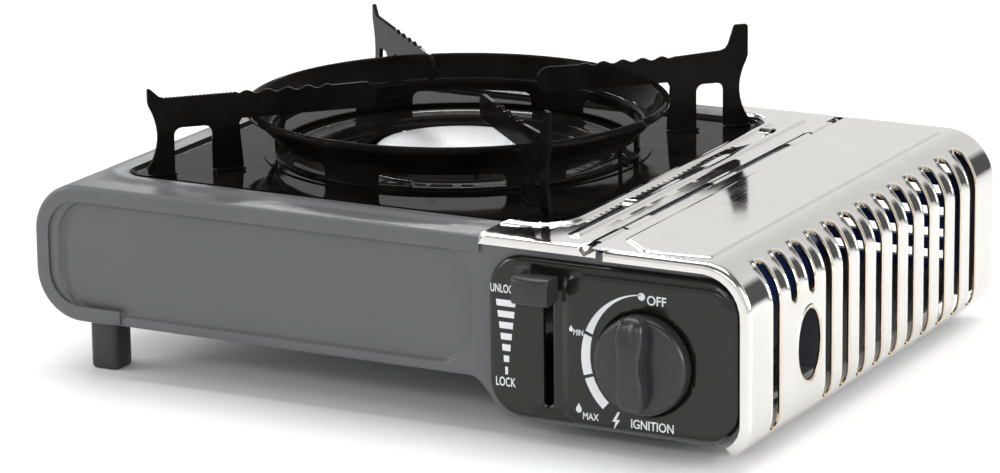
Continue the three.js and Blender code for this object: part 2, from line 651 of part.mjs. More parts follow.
const makeLeverArm = () => {
  const root = leverPinRadius + 4;
  const endY = bezelFace - tabStandOff;
  const inner = wallFront + sheet + 6;
  const arm = alongX(outline([[leverPivotY, leverPivotZ - root], [leverPivotY + 3, leverPivotZ + root],
    [inner + 4, stemZ + leverStemHeight / 2], [endY, stemZ + leverStemHeight / 2],
    [endY, stemZ - leverStemHeight / 2], [inner + 4, stemZ - leverStemHeight / 2]]),
  leverX - leverArmThickness / 2, leverX + leverArmThickness / 2);
  const boss = rodX(leverPivotY, leverPivotZ, root, leverX - leverArmThickness / 2, leverX + leverArmThickness / 2);
  const crank = box(leverX - leverArmThickness / 2, leverX + leverArmThickness / 2, leverPivotY - 3.5,
    leverPivotY + 3.5, leverPivotZ, leverPivotZ + leverCrankHeight);
  const bore = rodX(leverPivotY, leverPivotZ, leverPinRadius + gap, leverX - 5, leverX + 5);
  return cut(union(arm, boss, crank), bore);
};
add('lever_arm', makeLeverArm(), zincPlate);

const tabBack = bezelFace - tabStandOff - gap;
const tabFront = tabBack - tabDepth;
const makeLeverTab = () => {
  const z0 = stemZ - 3;
  const z1 = stemZ + 8;
  const profile = outline([[tabBack, stemZ - 5], [tabBack, z1], [tabBack - 5, z1 + 1.5], ...arc(tabFront + 4,
    z1 - 3.5, 4, 80, 180, 5), [tabFront, z0 + 1], [tabFront + 3, z0 - 1], [tabBack - 5, z0 - 2.5]]);
  return alongX(profile, leverX - tabLeft, leverX + tabRight);
};
add('lever_tab', makeLeverTab(), blackPlastic);

const bracketGap = 0.5;
const makeLeverBracket = () => {
  const foot = cartridgeFloorHeight + sheet + gap;
  const inner = leverX - leverArmThickness / 2 - bracketGap;
  const cheek = (x0, x1) => alongX(outline([[leverPivotY - 8, foot], [leverPivotY + 8, foot],
    ...arc(leverPivotY, leverPivotZ, 6, 0, 180)]), x0, x1);
  const base = box(inner - 8, inner, leverPivotY - 8, leverPivotY + 8, foot, foot + sheet);
  const bore = rodX(leverPivotY, leverPivotZ, leverPinRadius + gap, leverX - 12, leverX + 12);
  return cut(union(cheek(inner - 1.2, inner), base), bore);
};
add('lever_bracket', makeLeverBracket(), zincPlate);
add('lever_pin', union(rodX(leverPivotY, leverPivotZ, leverPinRadius, leverX - 4.5, leverX + 3),
  rodX(leverPivotY, leverPivotZ, leverPinRadius + 1.4, leverX + leverArmThickness / 2 + gap, leverX + 3)), zincPlate);

const carriageFoot = cartridgeFloorHeight + sheet + gap;
const carriageRailX = [cartridgeX - 18, cartridgeX + 18];
const carriageRailHeight = 3;
const makeCarriage = () => {
  const x0 = shieldX + sheet + 2;
  const x1 = lipX - 3;
  const z0 = carriageFoot + carriageRailHeight + gap;
  const plate = alongY(outline([[x0, z0], [x1, z0], [x1, cartridgeZ], [x0, cartridgeZ + 16]]),
    carriageY, carriageY + carriageThickness);
  const throat = union(rodY(cartridgeX, cartridgeZ, 22, carriageY - 1, carriageY + carriageThickness + 1, 32),
    box(cartridgeX - 22, cartridgeX + 40, carriageY - 1, carriageY + carriageThickness + 1, cartridgeZ, cartridgeZ + 40));
  const shelf = box(x0 + 8, x1 - 8, carriageY, carriageY + 20, z0, z0 + 1.5);
  const tongue = box(leverX + leverArmThickness / 2 + gap + 1, x0 + 4, tongueFront, carriageY + 1,
    leverPivotZ + 10, leverPivotZ + 13);
  return union(cut(plate, throat), shelf, tongue);
};
add('cartridge_carriage', makeCarriage(), zincPlate);
carriageRailX.forEach((x, i) => add(['carriage_rail_left', 'carriage_rail_right'][i],
  box(x - 3, x + 3, carriageY - 22, carriageY + 30, carriageFoot, carriageFoot + carriageRailHeight), zincPlate));

// ---- lid over the cartridge compartment ----
const lidHemZ = lidHemTop;
const lidPath = (offset) => [
  [hingeX + 1.6, plateTop - offset],
  ...arc(lidRight - lidCornerRadius, lidCornerZ, lidCornerRadius - offset, 90, 0, 10),
  ...arc(lidRight - lidHemRadius, lidHemZ, lidHemRadius - offset, 0, -lidHemAngle, 8)];
const lidBand = (offset) => outline([...lidPath(0), ...lidPath(offset).reverse()]);

const makeLid = () => {
  const shell = alongY(lidBand(steelSheet), lidFront, lidBack);
  const keepFlange = box(hingeX + 5.7, lidRight + 1, lidFront - 1, lidBack + 1, 0, plateTop + 1);
  const flanges = union(alongY(lidBand(lidFlange), lidFront, lidFront + steelSheet),
    alongY(lidBand(lidFlange), lidBack - steelSheet, lidBack)).intersect(keepFlange);
  const shellEnds = union(box(hingeX - 1, hingeX + 5.7, lidFront - 1, front + 2, plateTop - 3, plateTop + 2),
    box(hingeX - 1, hingeX + 5.7, back - 2, lidBack + 1, plateTop - 3, plateTop + 2));
  const panelLeft = hingeX + 8.7;
  const panelRight = lidRight - lidCornerRadius;
  const panel = alongZ(outline([[panelLeft, front + 17], [panelLeft + 15, front + 3], [panelRight, front + 7],
    [panelRight, back - 10], [panelLeft + 13, back - 10], [panelLeft, back - 21]]), plateTop - 0.2, plateTop + 0.7);
  const arms = lidKnuckleSpans.map(([y0, y1]) => union(knuckle(y0, y1),
    box(hingeX, hingeX + 2.4, y0, y1, plateTop - steelSheet, plateTop)));
  const slots = [];
  for (let i = 0; i < lidSlotCount; i += 1) {
    const y = lidSlotFirst + i * lidSlotPitch;
    const overHole = Math.abs(y - fingerHoleY) < fingerHoleWidth / 2 + lidSlotWidth;
    const bottom = overHole ? shortSlotBottom : lidSlotBottom;
    slots.push(alongX(roundRect(y - lidSlotWidth / 2, y + lidSlotWidth / 2, bottom, lidSlotTop,
      lidSlotWidth / 2 - 0.01, 2), lidRight - 8, lidRight + 5));
  }
  const hole = solid(new THREE.CylinderGeometry(1, 1, 10, 32).rotateZ(Math.PI / 2)
    .scale(1, fingerHoleWidth / 2, fingerHoleHeight / 2).translate(lidRight, fingerHoleY, fingerHoleZ));
  const knuckleRoom = knuckleSpans.map(([y0, y1]) => rodY(hingeX, hingeZ, knuckleRadius + hingeGap,
    y0 - runningGap, y1 + runningGap, 20));
  return cut(union(shell, flanges, panel, ...arms), ...slots, hole, shellEnds, pinBore, ...knuckleRoom);
};
add('cartridge_lid', makeLid(), mirrorSteel);

// ---- drip tray ----
const makeTray = () => {
  const sheetEdge = gap + 0.2;
  const area = alongZ(trayOutline(-sheetEdge), traySheetBottom, traySheetTop);
  const rimTop = traySheetTop + trayRimHeight;
  const rim = cut(alongZ(trayOutline(-sheetEdge), traySheetBottom, rimTop),
    alongZ(trayOutline(-sheetEdge - trayRimWidth), traySheetTop, rimTop + 1));
  const low = traySheetBottom - trayWellDepth;
  const collarTop = low + 3;
  const dish = turned([[0, low], [trayWellRadius - 3, low], [trayWellRadius, traySheetBottom],
    [trayWellRadius, traySheetTop], [0, traySheetTop]], burnerX, burnerY);
  const hollow = turned([[0, collarTop], [trayHoleRadius + sheet, collarTop], [trayHoleRadius + sheet, low + sheet],
    [trayWellRadius - 3.6, low + sheet], [trayWellRadius - 1, traySheetTop + 1], [0, traySheetTop + 1]],
  burnerX, burnerY);
  const hole = rodZ(burnerX, burnerY, trayHoleRadius, low - 1, traySheetTop + 1, 48);
  return cut(union(area, rim, dish), hollow, hole);
};
add('drip_tray', makeTray(), blackEnamel);

// ---- wind ring with its arched windows ----
const makeRing = () => {
  const z0 = ringFoot;
  const waist = z0 + ringWindowHeight;
  const rim = ringRimHeight;
  const profile = [[ringFootRadius + 5, z0], [ringFootRadius + 5, z0 + sheet], [ringFootRadius, z0 + sheet],
    [ringFootRadius + 0.8, waist], [ringFootRadius + 3.6, waist + 1.4], [ringRadius - 0.4, rim - 1.6],
    [ringRadius, rim - 0.8], [ringRadius - 0.8, rim], [ringRadius - 2, rim - 0.8],
    [ringFootRadius + 2.6, waist + 2], [ringFootRadius - 0.2, waist + 0.6], [ringFootRadius - sheet, z0],
    [ringFootRadius + 5, z0]];
  const ring = turned(profile, burnerX, burnerY, 60);
  const windows = [];
  const middle = (ringFootRadius * Math.sin(THREE.MathUtils.degToRad(ringWindowAngle / 2)));
  for (let i = 0; i < ringWindowCount; i += 1) {
    const angle = ringWindowStart + ringWindowAngle / 2 + i * 360 / ringWindowCount;
    const arch = alongX(outline([[-middle, z0 + sheet + 0.6], [middle, z0 + sheet + 0.6],
      [middle - 1, waist - 3.5], [middle - 4.5, waist - 0.6], [4.5 - middle, waist - 0.6],
      [1 - middle, waist - 3.5]]), ringFootRadius - 14, ringFootRadius + 4);
    windows.push(arch.rotate([0, 0, angle]).translate([burnerX, burnerY, 0]));
  }
  return cut(ring, ...windows);
};
add('wind_ring', makeRing(), blackEnamel);

// ---- pan supports: pressed blades standing on the tray, two with tall spikes ----
const makeSupport = (tall, tabSide, extraReach) => {
  const foot = supportFoot;
  const reach = supportReach + extraReach;
  const innerLeg = ringRadius + 5.5;
  const slotInner = innerLeg + 13.9;
  const slotOuter = reach - 11.6;
  const slotTop = fingerUnderside - 2;
  const serration = Array.from({ length: 9 }, (_, i) => [
    ringRadius + 3.4 - i * 4.5, panRestHeight + (i % 2 === 0 ? 0 : -1.4)]);
  const spike = tall
    ? [[reach, panRestHeight - 6], [reach, spikeHeight], [reach - 6.6, spikeHeight], [reach - 9, panRestHeight + 3],
      [reach - 13, panRestHeight]]
    : [[reach, panRestHeight - 6], [reach, hornHeight], [reach - 2, hornHeight], [reach - 5.5, panRestHeight]];
  const blade = outline([
    [innerLeg, foot], [slotInner, foot], [slotInner, slotTop - 3], [slotInner + 3, slotTop],
    [slotOuter - 3, slotTop], [slotOuter, slotTop - 3], [slotOuter, foot], [reach + 0.4, foot],
    [reach - 4.6, foot + 12], [reach - 5, foot + 19], ...spike, ...serration,
    [supportTip + 18, panRestHeight - 1.5], [supportTip + 2, panRestHeight - 6], [supportTip, panRestHeight - 9],
    [supportTip + 4, fingerUnderside],
    [innerLeg + 1, fingerUnderside], [innerLeg + 1, foot + 14]]);
  const plate = alongY(blade, -supportThickness / 2, supportThickness / 2);
  const tab = (r0, r1) => box(r0, r1, Math.min(tabSide * supportTabWidth, -supportThickness / 2),
    Math.max(tabSide * supportTabWidth, supportThickness / 2), foot, foot + 1.2);
  return union(plate, tab(innerLeg, slotInner), tab(slotOuter, reach));
};

const supports = [['back_right', 45, -1, 0], ['back_left', 135, 1, 0], ['front_left', 226, 1, 4],
  ['front_right', 315, 1, 0]];
supports.forEach(([place, angle, tabSide, extraReach]) => {
  const tall = place.endsWith('right');
  const blade = makeSupport(tall, tabSide, extraReach).rotate([0, 0, angle]).translate([burnerX, burnerY, 0]);
  add(`pan_support_${place}`, blade, blackEnamel);
});

// ---- feet and the rivets under the front edge ----
const makeFoot = (x, y, top) => alongZ(roundRect(x, x + footSize, y, y + footSize, 3, 4), 0, top);
const tallFoot = burnerFloorHeight - gap;
const shortFoot = cartridgeFloorHeight - gap;
const feet = [
  ['foot_front_left', left + footLeftMargin, front + footInset, tallFoot],
  ['foot_back_left', left + footLeftMargin, back - footInset - footSize, tallFoot],
  ['foot_front_right', lidRight - footRightMargin, front + shortFootInset, shortFoot],
  ['foot_back_right', lidRight - footRightMargin, back - shortFootInset - footSize, shortFoot]];
feet.forEach(([name, x, y, top]) => add(name, makeFoot(x, y, top), leadRubber));

[['front_rivet_left', trayLeft + 74], ['front_rivet_right', trayRight - 73]].forEach(([name, x]) => {
  const top = panFloor - gap;
  add(name, turned([[0, top - 1.5], [1.6, top - 1.1], [2.6, top], [0, top]], x, wallFront + 4, 16), mirrorSteel);
});

export default stove;
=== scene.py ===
import math
import bmesh
import bpy
import numpy as np
from mathutils import Matrix, Vector, geometry


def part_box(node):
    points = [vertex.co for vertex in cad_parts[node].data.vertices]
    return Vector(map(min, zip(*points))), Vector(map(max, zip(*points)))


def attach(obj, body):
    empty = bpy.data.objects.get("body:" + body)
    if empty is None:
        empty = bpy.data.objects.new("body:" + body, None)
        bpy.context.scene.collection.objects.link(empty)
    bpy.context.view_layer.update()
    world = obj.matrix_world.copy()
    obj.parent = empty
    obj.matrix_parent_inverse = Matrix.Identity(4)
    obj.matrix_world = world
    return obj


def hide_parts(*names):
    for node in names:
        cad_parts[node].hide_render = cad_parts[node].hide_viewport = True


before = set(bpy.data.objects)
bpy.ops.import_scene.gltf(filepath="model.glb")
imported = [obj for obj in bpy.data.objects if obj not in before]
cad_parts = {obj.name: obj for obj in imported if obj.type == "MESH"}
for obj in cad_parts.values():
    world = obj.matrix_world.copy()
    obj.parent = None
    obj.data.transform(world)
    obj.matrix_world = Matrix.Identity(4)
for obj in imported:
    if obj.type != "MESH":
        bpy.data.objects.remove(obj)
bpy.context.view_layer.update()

# Lengths in the dictionaries are millimetres: x to the right along the front, y to the back from the
# middle of the casing, z up from the table. The CAD's own boxes say where the casing's middle lies.
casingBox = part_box("top_casing")
middleY = (casingBox[0].y + casingBox[1].y) / 2 * 1000


# The camera stands at a place in row metres and looks along azimuth and elevation, with a little roll.
cameraView = {"place": (0.90663, -1.70524, 0.56089), "azimuth": 28.2025, "elevation": 14.7388,
              "roll": -0.7158, "lens": 163.78, "sensor": 36, "shiftX": 0.00361, "shiftY": -0.00388,
              "clip": (0.05, 50)}


def makeCamera(v):
    # right, up and back directions of the view fill the columns of the camera's turn
    az, el, roll = (math.radians(v[k]) for k in ("azimuth", "elevation", "roll"))
    ahead = Vector((-math.sin(az) * math.cos(el), math.cos(az) * math.cos(el), -math.sin(el)))
    right = ahead.cross(Vector((0, 0, 1))).normalized()
    up = right.cross(ahead)
    tiltedRight = right * math.cos(roll) + up * math.sin(roll)
    tiltedUp = up * math.cos(roll) - right * math.sin(roll)
    data = bpy.data.cameras.new("studioCamera")
    data.sensor_width = v["sensor"]
    data.lens = v["lens"]
    data.shift_x, data.shift_y = v["shiftX"], v["shiftY"]
    data.clip_start, data.clip_end = v["clip"]
    cam = bpy.data.objects.new("studioCamera", data)
    bpy.context.scene.collection.objects.link(cam)
    turn = Matrix((tiltedRight, tiltedUp, -ahead)).transposed().to_4x4()
    cam.matrix_world = Matrix.Translation(v["place"]) @ turn
    bpy.context.scene.camera = cam


makeCamera(cameraView)
print("camera placed")


# Plane shapes

def arcPoints(cx, cy, radius, startAngle, endAngle, steps=8):
    # points on a circle at even angles, in degrees
    a = np.radians(np.linspace(startAngle, endAngle, steps + 1))
    return np.column_stack((cx + radius * np.cos(a), cy + radius * np.sin(a)))


def roundRect(x0, x1, y0, y1, r, steps=8):
    # four quarter circles joined by straight sides, anticlockwise
    centres = ((x1 - r, y1 - r), (x0 + r, y1 - r), (x0 + r, y0 + r), (x1 - r, y0 + r))
    return np.vstack([arcPoints(cx, cy, r, 90 * i, 90 * i + 90, steps) for i, (cx, cy) in enumerate(centres)])


def ellipse(cx, cy, rx, ry, steps=40):
    # a circle stretched by rx and ry
    a = np.linspace(0, 2 * np.pi, steps, endpoint=False)
    return np.column_stack((cx + rx * np.cos(a), cy + ry * np.sin(a)))


def resample(loop, step):
    # every side of a closed loop is divided evenly so that no piece is longer than step
    ends = np.roll(loop, -1, axis=0)
    counts = np.maximum(1, np.ceil(np.linalg.norm(ends - loop, axis=1) / step).astype(int))
    t = np.concatenate([np.arange(n) / n for n in counts])[:, None]
    return np.repeat(loop, counts, axis=0) * (1 - t) + np.repeat(ends, counts, axis=0) * t


def dropRepeats(loop, least=0.02):
    # corners that fall on the corner before them are left out
    gap = np.linalg.norm(loop - np.roll(loop, 1, axis=0), axis=1)
    return loop[gap > least]


def offsetLoop(loop, d):
    # each corner moves along the mean of its two sides' normals, so that both sides move by d
    before, after = loop - np.roll(loop, 1, axis=0), np.roll(loop, -1, axis=0) - loop
    n1, n2 = (np.column_stack((side[:, 1], -side[:, 0])) / np.linalg.norm(side, axis=1, keepdims=True)
              for side in (before, after))
    return loop + d * (n1 + n2) / (1 + (n1 * n2).sum(1))[:, None]


blockSize = 4000  # points measured at once, so that the arrays of distances stay small


def distanceTo(points, loop):
    # least distance from each point to the sides of a closed loop, by dropping it onto every side
    a, b = loop, np.roll(loop, -1, axis=0)
    along = b - a
    square = np.maximum((along ** 2).sum(1), 1e-12)
    least = np.empty(len(points))
    for k in range(0, len(points), blockSize):
        p = points[k:k + blockSize, None]
        t = np.clip(((p - a) * along).sum(2) / square, 0, 1)
        least[k:k + blockSize] = np.sqrt((((p - a) - t[..., None] * along) ** 2).sum(2).min(1))
    return least


def isInside(points, loop):
    # a ray to the right crosses the sides of the loop an odd number of times
    a, b = loop, np.roll(loop, -1, axis=0)
    odd = np.zeros(len(points), bool)
    for k in range(0, len(points), blockSize):
        p = points[k:k + blockSize, None]
        spans = (a[:, 1] > p[..., 1]) != (b[:, 1] > p[..., 1])
        rise = np.where(b[:, 1] == a[:, 1], 1e-12, b[:, 1] - a[:, 1])
        cross = (b[:, 0] - a[:, 0]) * (p[..., 1] - a[:, 1]) / rise + a[:, 0]
        odd[k:k + blockSize] = (spans & (p[..., 0] < cross)).sum(1) % 2 == 1
    return odd


def depthIn(points, loop):
    # distance to the loop, counted as positive inside and negative outside
    return np.where(isInside(points, loop), 1, -1) * distanceTo(points, loop)


def ease(t):
    # 3t^2 - 2t^3 between 0 and 1
    t = np.clip(t, 0, 1)
    return t * t * (3 - 2 * t)


def isOnSheet(points, outer, holes):
    # inside the outer loop and outside every hole
    on = isInside(points, outer)
    for hole in holes:
        on &= ~isInside(points, hole)
    return on


def cutSheet(outer, holes, lines, gridX, gridY, room=0.45, strands=()):
    # constrained Delaunay net of the area inside outer and outside the holes, with further closed
    # lines and open strands as edges and the points of a grid that stay clear of all of them
    loops = [outer, *holes, *lines]
    gx, gy = np.meshgrid(gridX, gridY)
    grid = np.column_stack((gx.ravel(), gy.ravel()))
    grid = grid[isOnSheet(grid, outer, holes)]
    for line in (*loops, *(np.vstack((strand, strand[-2:0:-1])) for strand in strands)):
        grid = grid[distanceTo(grid, line) > room]
    points = np.vstack((*loops, *strands, grid))
    starts = np.cumsum([0] + [len(line) for line in (*loops, *strands)])
    edges = [np.column_stack((np.arange(len(loop)) + s, (np.arange(len(loop)) + 1) % len(loop) + s))
             for s, loop in zip(starts, loops)]
    edges += [np.column_stack((np.arange(len(strand) - 1), np.arange(1, len(strand)))) + s
              for s, strand in zip(starts[len(loops):], strands)]
    net = geometry.delaunay_2d_cdt([Vector(p) for p in points.tolist()], np.vstack(edges).tolist(), [], 0, 1e-5)
    flat = np.array([tuple(v) for v in net[0]])
    triangles = np.array(net[2])
    triangles = triangles[isOnSheet(flat[triangles].mean(1), outer, holes)]
    a, b, c = (flat[triangles[:, i]] for i in range(3))
    area = (b[:, 0] - a[:, 0]) * (c[:, 1] - a[:, 1]) - (b[:, 1] - a[:, 1]) * (c[:, 0] - a[:, 0])
    triangles[area < 0] = triangles[area < 0][:, ::-1]
    return flat, triangles[abs(area) > 1e-9]


# Solids

def netNormals(points, faces):
    # each face adds its own normal, weighted by area, to its corners
    total = np.zeros_like(points)
    normal = np.cross(points[faces[:, 1]] - points[faces[:, 0]], points[faces[:, 2]] - points[faces[:, 0]])
    for i in range(faces.shape[1]):
        np.add.at(total, faces[:, i], normal)
    return total / np.maximum(np.linalg.norm(total, axis=1, keepdims=True), 1e-12)


def twoSkins(triangles, n):
    # a skin, its reversed copy n points further on, and walls along the edges of only one triangle
    sides = np.vstack((triangles[:, :2], triangles[:, 1:], triangles[:, [2, 0]]))
    keys = np.sort(sides, axis=1)
    _, first, count = np.unique(keys[:, 0] * n + keys[:, 1], return_index=True, return_counts=True)
    rim = sides[first[count == 1]]
    walls = np.column_stack((rim[:, 1], rim[:, 0], rim[:, 0] + n, rim[:, 1] + n))
    return [*triangles.tolist(), *(triangles[:, ::-1] + n).tolist(), *walls.tolist()]


def thicken(points, triangles, thickness, normals=None):
    # the second skin lies thickness behind the first
    normals = netNormals(points, triangles) if normals is None else normals
    return np.vstack((points, points - normals * thickness)), twoSkins(triangles, len(points))


def gridPoints(x, y, z):
    # three arrays, spread over the same rows and columns, become one array of points
    return np.stack(np.broadcast_arrays(x, y, z), axis=-1)


def gridNet(points, closeRows=False, closeColumns=False):
    # neighbours in a rows by columns array of points are joined by quads
    rows, columns = points.shape[:2]
    index = np.arange(rows * columns).reshape(rows, columns)
    if closeRows:
        index = np.vstack((index, index[:1]))
    if closeColumns:
        index = np.column_stack((index, index[:, :1]))
    quads = np.stack((index[:-1, :-1], index[1:, :-1], index[1:, 1:], index[:-1, 1:]), axis=-1)
    return points.reshape(-1, 3), quads.reshape(-1, 4)


def splitQuads(quads):
    # each quad becomes two triangles
    return np.vstack((quads[:, :3], quads[:, [0, 2, 3]]))


def loftNet(points):
    # closed loops, one to a row, are joined by quads, and the first and the last are capped
    rows, n = points.shape[:2]
    net, quads = gridNet(points, closeColumns=True)
    return net, [*quads.tolist(), np.arange(n)[::-1].tolist(), (np.arange(n) + n * (rows - 1)).tolist()]


def barNet(points):
    # one closed loop at two places, a place to a column, gets its walls and two ends
    n = len(points)
    net, quads = gridNet(points, closeRows=True)
    return net, [*quads.tolist(), (np.arange(n) * 2).tolist(), (np.arange(n)[::-1] * 2 + 1).tolist()]


def turnedNet(profile, centre, axis="z", segments=96):
    # a profile of radius and height is carried round an axis through centre
    a = np.linspace(0, 2 * np.pi, segments, endpoint=False)
    profile = np.asarray(profile, float)
    r, h = profile[:, 0][:, None], profile[:, 1][:, None]
    x, other = centre[0] + r * np.cos(a), centre[1] + r * np.sin(a)
    points = gridPoints(x, other, h) if axis == "z" else gridPoints(x, h, other)
    return gridNet(points, closeColumns=True)


def joinNets(*nets):
    # meshes are stacked, with each later one's point numbers moved up
    points, faces, start = [], [], 0
    for p, f in nets:
        points.append(np.asarray(p, float))
        faces += [[i + start for i in face] for face in (f.tolist() if isinstance(f, np.ndarray) else f)]
        start += len(p)
    return np.vstack(points), faces


def makePiece(name, net, body, finish, replaced=(), sharp=32, bevel=None, soft=None, merge=1e-3):
    # points in millimetres become a closed mesh in row metres with its normals pointing out
    points, faces = net
    mesh = bpy.data.meshes.new(name)
    row = (np.asarray(points, float) + (0, middleY, 0)) / 1000
    mesh.from_pydata(row.tolist(), [], faces.tolist() if isinstance(faces, np.ndarray) else faces)
    if soft is not None:
        layer = mesh.attributes.new("mark", "FLOAT", "POINT")
        layer.data.foreach_set("value", soft.astype(np.float32))
    bm = bmesh.new()
    bm.from_mesh(mesh)
    bmesh.ops.remove_doubles(bm, verts=bm.verts, dist=merge / 1000)
    if bevel:
        bmesh.ops.dissolve_limit(bm, angle_limit=math.radians(1), verts=bm.verts, edges=bm.edges)
    bmesh.ops.recalc_face_normals(bm, faces=bm.faces)
    bm.to_mesh(mesh)
    bm.free()
    piece = bpy.data.objects.new(name, mesh)
    bpy.context.scene.collection.objects.link(piece)
    if bevel:
        rounding = piece.modifiers.new("rounding", "BEVEL")
        rounding.width, rounding.segments = bevel / 1000, 3
        rounding.limit_method, rounding.angle_limit = "ANGLE", math.radians(40)
        rounding.harden_normals = True
        piece.data.shade_smooth()
        applyModifiers(piece)
    else:
        piece.data.shade_smooth()
        piece.data.set_sharp_from_angle(angle=math.radians(sharp))
    piece.data.materials.clear()
    piece.data.materials.append(finish)
    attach(piece, body)
    if replaced:
        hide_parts(*replaced)
    return piece


def applyModifiers(piece):
    # the shape with its modifiers becomes the mesh itself
    shape = bpy.data.meshes.new_from_object(piece.evaluated_get(bpy.context.evaluated_depsgraph_get()))
    piece.modifiers.clear()
    piece.data = shape


def slabNet(outline, near, far, place):
    # a flat shape, netted once, stands at two heights with walls between; place turns its two measures
    # and the height to x, y and z
    flat, triangles = cutSheet(outline, [], [], [], [])
    low, high = (place(flat[:, 0], flat[:, 1], np.full(len(flat), h)) for h in (near, far))
    return np.vstack((low, high)), twoSkins(triangles, len(flat))


def upright(a, b, h):
    # shapes drawn on x and y, raised along z
    return np.column_stack((a, b, h))


def facing(a, b, h):
    # shapes drawn on x and z, with their height along y
    return np.column_stack((a, h, b))


# Sheet metal carried along a path, with both its edges folded in

def pathTravel(path):
    # distance from the start of a path to each of its corners
    return np.concatenate(([0], np.cumsum(np.linalg.norm(np.diff(path, axis=0), axis=1))))


def pathLength(path):
    # the lengths of its sides, added up
    return np.linalg.norm(np.diff(path, axis=0), axis=1).sum()


def cornerMeans(sides):
    # a corner's direction is the mean of its two sides' directions, made one unit long
    means = np.vstack((sides[:1], sides[:-1] + sides[1:], sides[-1:]))
    return means / np.linalg.norm(means, axis=1, keepdims=True)


def readAlong(u, travel, columns):
    # two columns of values, read at distance u along a path
    return [np.interp(u, travel, columns[:, i]) for i in (0, 1)]


def pathFrame(path, u):
    # place and left-hand normal at distance u along a plane path, from the normals of its sides
    steps, travel = np.diff(path, axis=0), pathTravel(path)
    side = np.column_stack((-steps[:, 1], steps[:, 0])) / np.linalg.norm(steps, axis=1)[:, None]
    at = np.column_stack(readAlong(u, travel, path))
    n = np.column_stack(readAlong(u, travel, cornerMeans(side)))
    return at, n / np.linalg.norm(n, axis=1, keepdims=True)


def foldedSection(front, back, bend, drop, steps=6):
    # depth and y across the sheet: up a flange, round a bend, straight across and down again
    rise = arcPoints(0, 0, bend, 180, 90, steps)
    near = np.column_stack((bend - rise[:, 1], front + bend + rise[:, 0]))
    far = np.column_stack((near[::-1, 0], back - (near[::-1, 1] - front)))
    return np.vstack(([[drop, front]], near, far, [[drop, back]]))


def foldScale(front, bend, drop):
    # distance across the section to the end of its first bend, and the distance at which it reaches y
    edge = drop - bend + bend * math.pi / 2
    return edge, lambda y: edge + y - (front + bend)


def foldedSurface(path, section, flat, press):
    # the path's place less the section's depth along its normal; press then moves points along the
    # finished surface's normal, which turns from the path's normal to straight forward round the fold
    at, n = pathFrame(path, flat[:, 0])
    steps, travel = np.diff(section, axis=0), pathTravel(section)
    slope = cornerMeans(steps / np.linalg.norm(steps, axis=1)[:, None])
    depth, y = readAlong(flat[:, 1], travel, section)
    dd, dy = readAlong(flat[:, 1], travel, slope)
    size = np.hypot(dd, dy)
    normal = np.column_stack((n[:, 0] * dy / size, dd / size, n[:, 1] * dy / size))
    points = np.column_stack((at[:, 0] - n[:, 0] * depth, y, at[:, 1] - n[:, 1] * depth))
    return points + normal * press[:, None], normal


def stops(path, coarse, fine):
    # distances along a path: its own corners, with long sides divided to no more than coarse
    travel = pathTravel(path)
    parts = [np.linspace(a, b, max(1, int(np.ceil((b - a) / coarse))), endpoint=False)
             for a, b in zip(travel[:-1], travel[1:])]
    every = np.concatenate((*parts, travel[-1:]))
    return every[np.concatenate(([True], np.diff(every) > fine))]


# Finishes

class Signal:
    # a socket whose arithmetic adds Math nodes to its own finish
    def __init__(self, finish, socket):
        self.finish, self.socket = finish, socket

    def __add__(self, other): return self.finish.math("ADD", self, other)
    def __radd__(self, other): return self.finish.math("ADD", other, self)
    def __sub__(self, other): return self.finish.math("SUBTRACT", self, other)
    def __rsub__(self, other): return self.finish.math("SUBTRACT", other, self)
    def __mul__(self, other): return self.finish.math("MULTIPLY", self, other)
    def __rmul__(self, other): return self.finish.math("MULTIPLY", other, self)


